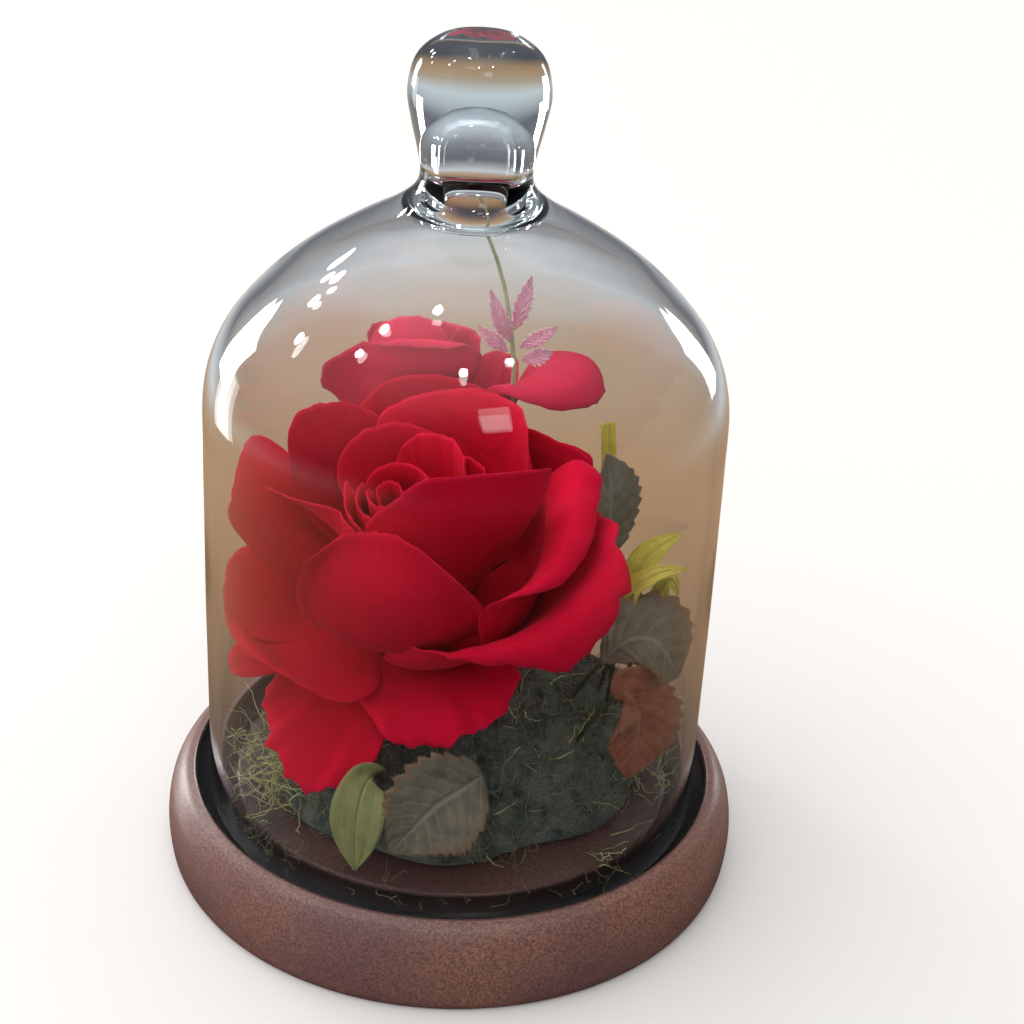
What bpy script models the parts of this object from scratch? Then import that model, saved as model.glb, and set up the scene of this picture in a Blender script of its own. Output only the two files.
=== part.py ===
"""Preserved roses under a blown glass dome, on a turned wooden base.

One large open rose leans out towards -Y, a smaller one stands behind it. Both grow out of a
mound of moss, among serrated rose leaves, lime blades and a spray with pink leaflets. The
dome's foot stands in the groove of the base, and the dome lifts straight off.
Metres, +Z up, origin at the middle of the base's underside. Outlines, routes and petals are
written in millimetres and turned into metres by MM.
"""

import math

import bmesh
import bpy
from mathutils import Vector, noise

MM = 0.001
GAP = 0.3  # clear space between pieces that touch, in millimetres like every size below

# Wooden base
BASE_R = 70.5
BASE_FOOT_R = 69.6
BASE_H = 21.0
LIP_R = 63.3  # outer wall of the groove
PLATFORM_R = 53.8  # inner wall of the groove
PLATFORM_Z = 20.6
GROOVE_Z = 15.0
BASE_STEPS = 36

# Glass dome
DOME_R = 60.0
DOME_WALL = 2.5
DOME_FOOT_Z = GROOVE_Z + GAP
DOME_TOP_Z = 201.5
DOME_STEPS = 28

# Moss mound
MOUND_R = 46.5
MOUND_Z = PLATFORM_Z + GAP
MOUND_TOP_Z = 51.0
MOUND_EDGE = 2.0  # height of its lowest ring of moss

# Petals and leaves
PETAL_THICK = 0.7
LEAF_THICK = 0.6
PETAL_BASE_R = 16.5  # radius of the cone that the petals stand on
PETAL_BASE_TOP = 6.2

ROSE_RED = (0.42, 0.006, 0.012)
LEAF_GREEN = (0.06, 0.10, 0.06)
WINE_LEAF = (0.16, 0.03, 0.03)
LIME = (0.45, 0.55, 0.08)
PINK = (0.75, 0.20, 0.33)
STEM_GREEN = (0.30, 0.42, 0.14)
MOSS = (0.06, 0.09, 0.04)
WOOD = (0.20, 0.09, 0.07)


def clear_scene():
    """Remove whatever the startup file holds."""
    for obj in list(bpy.data.objects):
        bpy.data.objects.remove(obj)


def finish(name, colour, roughness, alpha=1.0):
    """A plain material with the piece's colour and gloss."""
    material = bpy.data.materials.new(name)
    material.use_nodes = True
    shader = material.node_tree.nodes["Principled BSDF"]
    shader.inputs["Base Color"].default_value = (*colour, 1.0)
    shader.inputs["Roughness"].default_value = roughness
    shader.inputs["Metallic"].default_value = 0.0
    shader.inputs["Alpha"].default_value = alpha
    return material


def add_object(name, shape, colour, roughness=0.8, alpha=1.0):
    """Turn a bmesh in millimetres into a named object in metres with a finish of its own."""
    bmesh.ops.scale(shape, vec=(MM, MM, MM), verts=shape.verts)
    mesh = bpy.data.meshes.new(name)
    shape.to_mesh(mesh)
    shape.free()
    mesh.shade_smooth()
    mesh.materials.append(finish(name + "_finish", colour, roughness, alpha))
    obj = bpy.data.objects.new(name, mesh)
    bpy.context.scene.collection.objects.link(obj)
    return obj


def smooth_line(points, count):
    """count + 1 points along a Catmull-Rom curve through the given ones, evenly by length."""
    pts = [Vector(p).to_3d() for p in points]
    ends = [pts[0] * 2 - pts[1], *pts, pts[-1] * 2 - pts[-2]]
    fine = []
    pieces = 16
    for i in range(len(pts) - 1):
        a, b, c, d = ends[i : i + 4]
        for k in range(pieces):
            t = k / pieces
            bend = (2 * a - 5 * b + 4 * c - d) * t * t + (3 * b - 3 * c + d - a) * t**3
            fine.append(0.5 * (2 * b + (c - a) * t + bend))
    fine.append(pts[-1])
    run = [0.0]
    for a, b in zip(fine, fine[1:]):
        run.append(run[-1] + (b - a).length)
    line = []
    k = 0
    for i in range(count + 1):
        want = run[-1] * i / count
        while k < len(fine) - 2 and run[k + 1] < want:
            k += 1
        span = run[k + 1] - run[k]
        line.append(fine[k].lerp(fine[k + 1], (want - run[k]) / span))
    return line


def turned(profile, steps):
    """Spin a closed (radius, height) outline, listed from top to bottom, round the Z axis."""
    shape = bmesh.new()
    verts = [shape.verts.new((r, 0, z)) for r, z in profile]
    edges = [shape.edges.new(pair) for pair in zip(verts, verts[1:])]
    bmesh.ops.spin(
        shape, geom=verts + edges, cent=(0, 0, 0), axis=(0, 0, 1),
        angle=math.tau, steps=steps, use_merge=True,
    )
    bmesh.ops.remove_doubles(shape, verts=shape.verts, dist=0.001)
    bmesh.ops.recalc_face_normals(shape, faces=shape.faces)
    return shape


def sheet(rows, thickness):
    """A thin closed solid on a grid of points, half its thickness to each side."""
    last_row, last_column = len(rows) - 1, len(rows[0]) - 1
    shape = bmesh.new()
    sides = [[], []]
    for i, row in enumerate(rows):
        for side in sides:
            side.append([])
        for j, here in enumerate(row):
            along = rows[min(i + 1, last_row)][j] - rows[max(i - 1, 0)][j]
            across = row[min(j + 1, last_column)] - row[max(j - 1, 0)]
            normal = across.cross(along).normalized() * (thickness / 2)
            sides[0][i].append(shape.verts.new(here + normal))
            sides[1][i].append(shape.verts.new(here - normal))
    outer, inner = sides
    for i in range(last_row):
        for j in range(last_column):
            shape.faces.new((outer[i][j], outer[i][j + 1], outer[i + 1][j + 1], outer[i + 1][j]))
            shape.faces.new((inner[i][j], inner[i + 1][j], inner[i + 1][j + 1], inner[i][j + 1]))
    ring = [(0, j) for j in range(last_column)]
    ring += [(i, last_column) for i in range(last_row)]
    ring += [(last_row, j) for j in range(last_column, 0, -1)]
    ring += [(i, 0) for i in range(last_row, 0, -1)]
    for (i, j), (k, m) in zip(ring, ring[1:] + ring[:1]):
        shape.faces.new((outer[i][j], inner[i][j], inner[k][m], outer[k][m]))
    bmesh.ops.recalc_face_normals(shape, faces=shape.faces)
    return shape


def tube(points, radii, sides):
    """A closed round bar along points, with a radius at each."""
    shape = bmesh.new()
    rings = []
    guide = Vector((1, 0, 0))
    for i, here in enumerate(points):
        ahead = (points[min(i + 1, len(points) - 1)] - points[max(i - 1, 0)]).normalized()
        guide = (guide - ahead * guide.dot(ahead)).normalized()
        other = ahead.cross(guide)
        ring = []
        for k in range(sides):
            angle = math.tau * k / sides
            spoke = guide * math.cos(angle) + other * math.sin(angle)
            ring.append(shape.verts.new(here + spoke * radii[i]))
        rings.append(ring)
    for low, high in zip(rings, rings[1:]):
        for k in range(sides):
            m = (k + 1) % sides
            shape.faces.new((low[k], low[m], high[m], high[k]))
    shape.faces.new(rings[0])
    shape.faces.new(rings[-1])
    bmesh.ops.recalc_face_normals(shape, faces=shape.faces)
    return shape


# The base is one turned block: bulging rim, lip, groove and platform.

def make_base():
    bulge = smooth_line(
        [(BASE_R - 7, BASE_H), (BASE_R - 4, BASE_H - 1.4), (BASE_R - 1.2, BASE_H - 5.4),
         (BASE_R, BASE_H * 0.45), (BASE_R - 0.2, 3.0), (BASE_FOOT_R, 0)],
        8,
    )
    profile = [(0, PLATFORM_Z), (PLATFORM_R - 0.8, PLATFORM_Z), (PLATFORM_R, PLATFORM_Z - 0.8)]
    profile += [(PLATFORM_R, GROOVE_Z), (LIP_R, GROOVE_Z), (LIP_R, BASE_H - 0.4)]
    profile += [(p.x, p.y) for p in bulge]
    profile += [(0, 0)]
    add_object("wood_base", turned(profile, BASE_STEPS), WOOD, 0.45)


# The dome is one blown piece: wall, shoulder, neck with an air pocket, and solid knob.

DOME_OUTSIDE = [
    (0, DOME_TOP_Z), (9.0, 200.1), (13.7, 196.0), (15.3, 188.8), (14.0, 181), (12.2, 173.6),
    (13.6, 167.6), (19.1, 163.2), (27.9, 158.2), (38.6, 151.2), (47.3, 143.6), (55.0, 134.0),
    (59.0, 122.8), (59.6, 108), (DOME_R, 70),
]
DOME_INSIDE = [
    (57.5, 70), (57.1, 108), (56.5, 122.2), (52.6, 132.8), (45.3, 141.6), (37.1, 148.8),
    (26.6, 155.4), (18.0, 160.0), (13.2, 162.4), (11.3, 160.4), (9.4, 159.9), (8.0, 162.2),
    (7.7, 167.5), (8.2, 174), (7.9, 179.8), (5.8, 184.2), (0, 186.6),
]


def make_dome():
    foot = DOME_FOOT_Z
    inner_r = DOME_R - DOME_WALL
    profile = list(DOME_OUTSIDE)
    profile += [(DOME_R, foot + 0.8), (DOME_R - 0.8, foot), (inner_r + 0.8, foot), (inner_r, foot + 0.8)]
    profile += DOME_INSIDE
    add_object("glass_dome", turned(profile, DOME_STEPS), (0.85, 0.92, 0.90), 0.02, 0.25)


# Roses

class Rose:
    """A rose's own frame: where its petals join, which way it faces, and its turn."""

    def __init__(self, heart, lean_x, lean_y):
        self.heart = Vector(heart)
        ax, ay = math.radians(lean_x), math.radians(lean_y)
        self.axis = Vector((math.sin(ax), math.cos(ax) * math.sin(ay), math.cos(ax) * math.cos(ay)))
        self.right = (Vector((1, 0, 0)) - self.axis * self.axis.x).normalized()
        self.back = self.axis.cross(self.right)

    def place(self, radius, azimuth, height):
        """A point from the rose's own radius, azimuth in degrees, and height."""
        angle = math.radians(azimuth)
        spoke = self.right * math.cos(angle) + self.back * math.sin(angle)
        return self.heart + spoke * radius + self.axis * height


def petal_rows(rose, petal, along, across):
    """Grid of points over one petal, from its claw at the heart to its rim.

    azimuth, half: the way it faces and its half width, in degrees about the rose's axis.
    line: its middle line from the heart to the rim, as (radius, height).
    low, high: how far each side edge spirals outwards near the rim, as a share of the radius.
    rise: how late it does so.
    lean: how much further out one side stands than the other, as a share of the radius.
    drop, point, tip: how far the rim falls away at the sides, how late, and where it peaks.
    twist: how much higher the last side lies than the middle at the rim.
    roll: how far the sides bend outwards. claw: the share of its width at the heart.
    wave: the rim's ruffle as (height, count, phase).
    """
    low, high, lean = petal.get("low", 0), petal.get("high", 0), petal.get("lean", 0)
    drop, point, tip = petal.get("drop", 0.2), petal.get("point", 3), petal.get("tip", 0)
    roll, claw, twist = petal.get("roll", 0), petal.get("claw", 0.6), petal.get("twist", 0)
    rise = petal.get("rise", 4)
    size, count, phase = petal.get("wave", (0, 1, 0))
    pieces = 60
    fine = smooth_line(petal["line"], pieces)
    rows = []
    for i in range(along + 1):
        row = []
        for j in range(across + 1):
            t = 2 * j / across - 1
            away = abs(t - tip) / (1 + abs(tip))
            s = i / along * (1 - drop * away**point)
            k = min(int(s * pieces), pieces - 1)
            here = fine[k].lerp(fine[k + 1], s * pieces - k)
            ahead = (fine[k + 1] - fine[k]).normalized()
            opened = min(s / 0.6, 1)
            width = claw + (1 - claw) * opened * (2 - opened)
            push = roll * abs(t) ** 3 * s * s
            push += size * math.sin(math.pi * count * t + phase) * s**4
            swell = 1 + lean * t * s + (low * max(-t, 0) ** 3 + high * max(t, 0) ** 3) * s**rise
            radius = (here.x + ahead.y * push) * swell
            height = here.y - ahead.x * push + twist * t * s * s
            row.append(rose.place(radius, petal["azimuth"] + petal["half"] * width * t, height))
        rows.append(row)
    return rows


FRONT_ROSE = Rose(heart=(-8.2, -2.5, 65.0), lean_x=-10, lean_y=-27)
REAR_ROSE = Rose(heart=(-10, 32, 80.5), lean_x=0, lean_y=6)

# Petals from the bud outwards. Azimuth 0 is +X, 90 the far side, 270 the side towards -Y.
FRONT_PETALS = [
    # the wound bud
    dict(azimuth=100, half=150, line=[(2.6, 6.4), (3.6, 24), (3.2, 38), (2.2, 47)], drop=0.02, claw=1),
    dict(azimuth=250, half=118, line=[(4.2, 6), (5.8, 24), (5.5, 38), (4.2, 47.6)], drop=0.06, claw=0.9),
    dict(azimuth=60, half=108, line=[(5.6, 5.4), (8, 22), (8.4, 38), (8, 46.6)], drop=0.08, claw=0.9,
         lean=-0.2),
    dict(azimuth=215, half=70, line=[(6.8, 5), (8.2, 22), (8, 38), (6.8, 46.4)], drop=0.06, low=0.4,
         claw=0.8),
    # half open petals round the bud
    dict(azimuth=56, half=48, line=[(8.4, 4.6), (13.6, 18.2), (17.3, 34.3), (19, 45.5)], drop=0.27,
         tip=-0.16, low=-0.14, high=-0.31, twist=-2.39, claw=0.7, lean=0.04),
    dict(azimuth=96, half=44, line=[(9.8, 4.2), (16.4, 17), (20.6, 32), (22, 43)], drop=0.2),
    dict(azimuth=30, half=21, line=[(9.8, 4.2), (16.8, 17), (21, 32), (22.8, 42)], drop=0.25),
    dict(azimuth=200, half=47, line=[(8.1, 4.6), (10.1, 22), (9.8, 38), (8.2, 47)], drop=0.08, low=1,
         claw=0.8),
    dict(azimuth=212, half=36, line=[(9.4, 4.2), (12.1, 20), (11.7, 37), (9.6, 46)], drop=0.12, low=1.9,
         claw=0.8),
    dict(azimuth=305, half=60, line=[(9.4, 4.2), (14.2, 19.6), (13.6, 38.1), (8.1, 54.8)], drop=0.22,
         tip=-0.13, low=0.15, high=2.25, twist=5.11, claw=0.86, lean=0.12, point=5.07, rise=1.2),
    # the cup towards the viewer
    dict(azimuth=260, half=52, line=[(10.8, 3.8), (18.4, 10.9), (25.4, 23), (22.8, 36.9), (11.9, 49.4)],
         drop=0.22, tip=-0.44, low=0.68, high=0.7, twist=0.47, claw=0.62, rise=4.05),
    # open petals, upper half
    dict(azimuth=65, half=44, line=[(11, 3.7), (21, 12), (28.1, 25.9), (32.7, 37.1), (35.4, 41.8)],
         drop=0.08, tip=-0.07, low=-0.33, high=0.1, twist=-2, lean=-0.19, point=3.44),
    dict(azimuth=122, half=29, line=[(12.2, 3.3), (23.5, 11), (29.9, 24), (33.5, 35.9), (34.8, 43.2)],
         drop=0.28, tip=0.29, low=-0.06, high=-0.29, twist=1.04, lean=0.04, point=2.68),
    dict(azimuth=81, half=39, line=[(13.4, 2.9), (25, 9.5), (33.5, 22), (37.4, 32.8), (39.1, 39.4)],
         drop=0.27, tip=-0.06, low=0.12, high=-0.12, twist=0.72, point=3.23),
    dict(azimuth=159, half=25, line=[(13.4, 2.9), (24.5, 8.2), (32.7, 19.7), (37.4, 31), (40.4, 39.8)],
         drop=0.24, tip=-0.03, low=0.12, high=0.3, twist=3.35, lean=-0.18, point=3.31),
    dict(azimuth=42, half=21, line=[(14.8, 2.4), (28.1, 7.7), (37.1, 18.8), (39.7, 27.4), (40.1, 31.5)],
         drop=0.41, tip=-0.2, low=0.31, twist=1.2, lean=-0.06),
    # the large petal at the right, rolled outwards
    dict(azimuth=343, half=43,
         line=[(12.2, 3.3), (25.1, 7.4), (31, 18.5), (32.5, 29), (38.1, 35.5), (43.2, 32.6)], drop=0.22,
         tip=0.45, low=-0.15, high=0.12, twist=-1.2, claw=0.84, lean=0.06),
    # open petals, lower half
    dict(azimuth=211, half=37, line=[(14.6, 2.5), (27.1, 5.4), (36.3, 10.1), (39.4, 15.8), (41.5, 15.9)],
         drop=0.4, tip=-0.53, low=-0.13, high=0.34, twist=-0.53, claw=0.57, lean=-0.19, point=2.83),
    dict(azimuth=313, half=61, line=[(13.8, 2.5), (25.6, 6.1), (35.4, 13.6), (41.4, 19.8), (47.3, 20.2)],
         drop=0.51, tip=0.15, low=-0.55, high=-0.41, twist=5, claw=0.7, lean=0.62, point=1.2),
    dict(azimuth=282, half=38, line=[(14.8, 2), (26, 2.9), (33.9, 4), (40.3, 2.5)], drop=0.18, tip=-0.07,
         low=-0.51, high=-0.13, twist=3.47, lean=0.04, point=2.88),
    dict(azimuth=231, half=28, line=[(16, 1), (28.1, -0.1), (38.7, -1.5), (46.7, -2.1), (51.4, -4)],
         drop=0.37, tip=-0.07, low=0.13, high=-0.16, twist=-3.91, claw=0.53, lean=0.16),
    dict(azimuth=201, half=11, line=[(16, 1.4), (27.3, 2.6), (37.7, 5.3), (47.2, 7)], drop=0.32,
         high=0.04, twist=0.28),
    # petals hidden in the photograph's view, under the left and right sides
    dict(azimuth=152, half=24, line=[(14.8, 2.3), (27, 3.4), (36, 7), (43, 10.5)], drop=0.3),
    dict(azimuth=24, half=24, line=[(16, 1.4), (26, 2.6), (34, 5.6), (40, 9)], drop=0.25),
]

REAR_PETALS = [
    dict(azimuth=90, half=150, line=[(2.4, 6.4), (3.2, 20), (3, 32), (2.2, 41)], drop=0.02, claw=1),
    dict(azimuth=250, half=110, line=[(4, 6), (5.2, 20), (5.4, 32), (4.4, 43)], drop=0.06, claw=0.9),
    dict(azimuth=40, half=105, line=[(5.4, 5.4), (6.8, 18), (7.2, 32), (6.8, 42)], drop=0.06, claw=0.9),
    dict(azimuth=280, half=50, line=[(7, 5), (8.6, 16), (9.2, 30), (8.4, 41)], drop=0.16, claw=0.8),
    dict(azimuth=62, half=60, line=[(7.2, 4.8), (9.8, 14), (11.6, 28), (13, 40)], drop=0.14, claw=0.7),
    dict(azimuth=140, half=42, line=[(8.4, 4.4), (11.6, 14), (14, 28), (15.4, 40)], drop=0.14, claw=0.7),
    dict(azimuth=240, half=54, line=[(8.6, 4.4), (11.6, 14), (12.6, 28), (14, 40), (10.5, 47)], drop=0.12),
    dict(azimuth=240, half=62, line=[(10, 3.9), (13.2, 12), (14.2, 26), (16.8, 36.5), (15.8, 41.5)],
         drop=0.25, tip=0.4, low=1.2, rise=2, twist=4, claw=0.8),
    dict(azimuth=188, half=26, line=[(11.4, 3.4), (17, 7.5), (22.5, 15), (26, 22), (27.5, 27.5)], drop=0.1),
    dict(azimuth=347, half=27, line=[(11.4, 3.4), (16, 11), (21, 24), (29, 33), (40, 36), (45, 33.5)],
         drop=0.25),
    dict(azimuth=184, half=22, line=[(12.6, 2.6), (19, 4.5), (25, 8), (28.5, 12), (30, 15)], drop=0.2),
    dict(azimuth=38, half=28, line=[(12.6, 3), (17, 8), (21, 18), (23.5, 27), (24.5, 31)], drop=0.25),
    dict(azimuth=92, half=34, line=[(14, 2.4), (16.4, 9), (18, 21), (18.8, 32)], drop=0.2),
]


def make_petals(prefix, rose, petals, across):
    for number, petal in enumerate(petals, 1):
        more = 2 if petal["half"] > 80 else 0
        rows = petal_rows(rose, petal, len(petal["line"]), across + more)
        add_object(f"{prefix}_{number:02d}", sheet(rows, PETAL_THICK), ROSE_RED, 0.85)


def rose_core(name, rose, root, stem_r):
    """Stem, calyx and the cone that the petals stand on, in one piece."""
    below = [rose.place(0, 0, h) for h in (-16, -9, -3)]
    stem = smooth_line([Vector(root), *below], 5)
    cone = [(PETAL_BASE_R * 0.62, -1.6), (PETAL_BASE_R, 0), (0.4, PETAL_BASE_TOP)]
    points = stem + [rose.place(0, 0, h) for r, h in cone]
    radii = [stem_r] * len(stem) + [r for r, h in cone]
    add_object(name, tube(points, radii, 10), STEM_GREEN, 0.7)
    add_socket(name, stem, stem_r)


# Moss mound with a clear socket for each stem that goes into it.

SOCKETS = []
SOCKET_SIDES = 6


def add_socket(name, stem, radius):
    """A cutter that leaves room in the mound for one stem."""
    deeper = [stem[0] + (stem[0] - stem[1]).normalized() * GAP, *stem[1:]]
    clear = (radius + GAP) / math.cos(math.pi / SOCKET_SIDES)
    cutter = add_object(name + "_socket", tube(deeper, [clear] * len(deeper), SOCKET_SIDES), MOSS)
    cutter.hide_render = True
    cutter.display_type = "WIRE"
    SOCKETS.append(cutter)


def mound_reach(angle):
    """Outer radius of the heap at an angle round the Z axis."""
    return MOUND_R * (1 + 0.04 * math.sin(3 * angle + 1.1) + 0.03 * math.sin(7 * angle))


def mound_surface(share, angle):
    """Height of the heap's surface, by share of its radius and by angle."""
    lump = noise.noise(Vector((share * 2.2 * math.cos(angle), share * 2.2 * math.sin(angle), 4.2)))
    heap = (MOUND_TOP_Z - MOUND_Z) * max(1 - share**2.6, 0) * (1 + 0.18 * lump)
    return MOUND_Z + MOUND_EDGE + heap


def is_in_mound(point, spare):
    angle = math.atan2(point.y, point.x)
    share = math.hypot(point.x, point.y) / mound_reach(angle)
    return share < 1 and point.z < mound_surface(share, angle) + spare


def make_mound():
    shape = bmesh.new()
    sides = 20
    shares = (1.0, 0.96, 0.86, 0.7, 0.5, 0.28)
    rings = []
    for number, share in enumerate(shares):
        ring = []
        for k in range(sides):
            angle = math.tau * k / sides
            reach = mound_reach(angle) * share
            z = MOUND_Z if number == 0 else mound_surface(share, angle)
            ring.append(shape.verts.new((reach * math.cos(angle), reach * math.sin(angle), z)))
        rings.append(ring)
    crown = shape.verts.new((0, 0, mound_surface(0, 0)))
    for low, high in zip(rings, rings[1:]):
        for k in range(sides):
            m = (k + 1) % sides
            shape.faces.new((low[k], low[m], high[m], high[k]))
    for k in range(sides):
        shape.faces.new((rings[-1][k], rings[-1][(k + 1) % sides], crown))
    shape.faces.new(rings[0])
    bmesh.ops.recalc_face_normals(shape, faces=shape.faces)
    mound = add_object("moss_mound", shape, MOSS, 0.95)
    for cutter in SOCKETS:
        cut = mound.modifiers.new(cutter.name, "BOOLEAN")
        cut.operation = "DIFFERENCE"
        cut.object = cutter


# Leaves and blades

def leaf_rows(leaf, rows_count, across):
    """Grid of points over a leaf, from the foot of its stalk to its tip.

    spine: its midrib's route. face: the direction that its upper side faces. wide: greatest
    width. stalk: the share of its length that is stalk. teeth: pairs of teeth along the edge.
    fold: how far the edges stand above the midrib, as a share of the half width.
    """
    spine = smooth_line(leaf["spine"], rows_count)
    face = Vector(leaf["face"]).normalized()
    stalk, teeth, fold = leaf.get("stalk", 0), leaf.get("teeth", 0), leaf.get("fold", 0.25)
    bite, full = leaf.get("bite", 0.14), leaf.get("full", 0.42)
    rows = []
    for i, here in enumerate(spine):
        ahead = (spine[min(i + 1, rows_count)] - spine[max(i - 1, 0)]).normalized()
        side = ahead.cross(face).normalized()
        up = side.cross(ahead)
        u = i / rows_count
        v = max(u - stalk, 0) / (1 - stalk)
        bulge = math.sin(math.pi * v ** (math.log(0.5) / math.log(full))) ** 0.8
        saw = (v * teeth) % 1 if teeth else 0
        half = leaf["wide"] / 2 * bulge * (1 - bite * saw)
        half = max(half, leaf.get("thin", 0.9))
        row = []
        for j in range(across + 1):
            t = 2 * j / across - 1
            row.append(here + side * (half * t) + up * (fold * half * abs(t)))
        rows.append(row)
    return rows


LEAVES = {
    # serrated rose leaves
    "rose_leaf_right_upper": dict(
        spine=[(24, 3, 41), (30, 5, 60), (34, 6, 76), (35.4, 7, 90), (33.5, 9, 102)],
        face=(0.75, -0.65, 0.1), wide=17, stalk=0.45, teeth=5,
    ),
    "rose_leaf_right_lower": dict(
        spine=[(25, -10, 41), (33, -12, 58), (40, -12, 67), (47, -12, 68), (53.5, -11, 62)],
        face=(0.1, -0.5, 1), wide=20, stalk=0.42, teeth=5,
    ),
    "rose_leaf_wine": dict(
        spine=[(30, -17, 36), (38, -20, 50), (44, -20, 55), (47.5, -18.5, 47), (45, -20, 34)],
        face=(0.75, -0.7, 0.3), wide=16, stalk=0.45, teeth=5,
    ),
    "rose_leaf_front": dict(
        spine=[(9, -24, 38), (8.5, -35, 45), (5, -42, 46.5), (-2, -46.5, 41), (-8.5, -47.5, 27)],
        face=(0.1, -1, 0.35), wide=27, stalk=0.34, teeth=5,
    ),
    "rose_leaf_rear_left": dict(
        spine=[(-16, 22, 42), (-24, 31, 58), (-32, 37, 66), (-42, 34, 65)],
        face=(-0.2, 0.4, 1), wide=19, stalk=0.4, teeth=5,
    ),
    "rose_leaf_rear_right": dict(
        spine=[(17, 26, 38), (23, 34, 54), (29, 37, 64), (37, 32, 68)],
        face=(0.2, 0.5, 1), wide=18, stalk=0.4, teeth=5,
    ),
    "tongue_leaf": dict(
        spine=[(-14, -34, 33), (-18, -41, 37.6), (-20.4, -45, 35.5), (-20.5, -48, 23.5)],
        face=(-0.2, -1, 0.1), wide=10.5, stalk=0.3, fold=0.12, full=0.6,
    ),
    # lime blades
    "lime_blade_tall": dict(
        spine=[(30, 20, 36), (35, 23, 75), (35.5, 22, 92), (34.5, 23, 104)],
        face=(0.2, -1, 0.1), wide=3.4, fold=0.1, full=0.6, thin=0.8,
    ),
    "lime_blade_upper": dict(
        spine=[(35, 2, 36), (43, 2, 71), (46.5, 3, 79), (52, 5, 84)],
        face=(-0.3, -0.5, 1), wide=5, full=0.55, thin=0.6, stalk=0.3,
    ),
    "lime_blade_lower": dict(
        spine=[(37, -3, 34), (42, -3, 70.5), (47, -4, 77), (53.5, -4, 79.5)],
        face=(-0.3, -0.5, 1), wide=4, full=0.55, thin=0.6, stalk=0.3,
    ),
    "lime_blade_curl": dict(
        spine=[(39, 4, 31), (47, 2, 60), (50, 0.5, 69), (52, -2, 68)],
        face=(-0.4, -0.4, 1), wide=4.5, full=0.6, thin=0.6, stalk=0.4,
    ),
}


def make_leaves():
    for name, leaf in LEAVES.items():
        colour = LEAF_GREEN if name.startswith("rose_leaf") else LIME
        colour = WINE_LEAF if name.endswith("wine") else colour
        rows = leaf_rows(leaf, 2 * leaf["teeth"] if "teeth" in leaf else 6, 2)
        add_object(name, sheet(rows, LEAF_THICK), colour, 0.7)
        stalk = [row[1] for row in rows]
        buried = [p for p in stalk if is_in_mound(p, spare=1.5)]
        add_socket(name, stalk[: len(buried) + 1], leaf.get("thin", 0.9) + 0.2)


# The spray: one upright stem and five pink leaflets near its top.

SPRAY_ROUTE = [
    (6, 16, 40), (8.6, 16.8, 78), (10, 16.6, 98), (10.6, 15.4, 112), (10.3, 13.5, 124), (7.5, 11.5, 141),
    (3, 7.5, 155), (0.8, 3, 163),
]
SPRAY_STEM_R = 0.7
LEAFLETS = [
    # where it leaves the stem, its tip, and how far it stands in front of the stem
    dict(height=124.5, tip=(1.6, 12, 132), front=1.0),
    dict(height=126.5, tip=(4.2, 9, 141.5), front=2.2),
    dict(height=129.5, tip=(13.4, 11, 144.5), front=1.2),
    dict(height=125.5, tip=(20, 11.5, 132.5), front=1.0),
    dict(height=122.5, tip=(19.4, 12.5, 125.5), front=1.2),
]


def make_spray():
    pieces = 16
    route = smooth_line(SPRAY_ROUTE, pieces)
    radii = [SPRAY_STEM_R * (1 - 0.5 * k / pieces) for k in range(pieces + 1)]
    add_object("spray_stem", tube(route, radii, 6), STEM_GREEN, 0.6)
    add_socket("spray_stem", route[:3], SPRAY_STEM_R)
    for number, leaflet in enumerate(LEAFLETS, 1):
        foot = min(route, key=lambda p: abs(p.z - leaflet["height"]))
        tip = Vector(leaflet["tip"])
        front = Vector((0, -leaflet["front"], 0))
        start = foot + (tip - foot).normalized() * (SPRAY_STEM_R + 1.4) + front
        middle = (start + tip) / 2 + front * 0.5
        leaf = dict(spine=[start, middle, tip], face=(0, -1, 0.35), wide=4.4, teeth=3, bite=0.3,
                    fold=0.15, full=0.45, thin=0.45)
        rows = leaf_rows(leaf, 6, 2)
        add_object(f"spray_leaflet_{number}", sheet(rows, LEAF_THICK), PINK, 0.6)


clear_scene()
make_base()
make_dome()
make_petals("front_petal", FRONT_ROSE, FRONT_PETALS, 6)
make_petals("rear_petal", REAR_ROSE, REAR_PETALS, 4)
rose_core("front_rose_core", FRONT_ROSE, (-2, 6, 36), 2.4)
rose_core("rear_rose_core", REAR_ROSE, (-7, 27, 36), 2.2)
make_leaves()
make_spray()
make_mound()
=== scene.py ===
# %% [markdown]
# # Preserved roses under a glass dome
# Two dried and dyed roses stand on a turned wooden base, among serrated leaves, lime blades, a
# spray of pink leaflets and a heap of moss. A blown glass dome with a solid knob covers them.
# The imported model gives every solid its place. This script dresses those solids: it models each
# piece again as a fine mesh in the same place, gives it a procedural finish, and lights it.

# %% Load the frame
import math
import random

import bpy
import numpy as np
from mathutils import Matrix, Vector, noise


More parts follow.
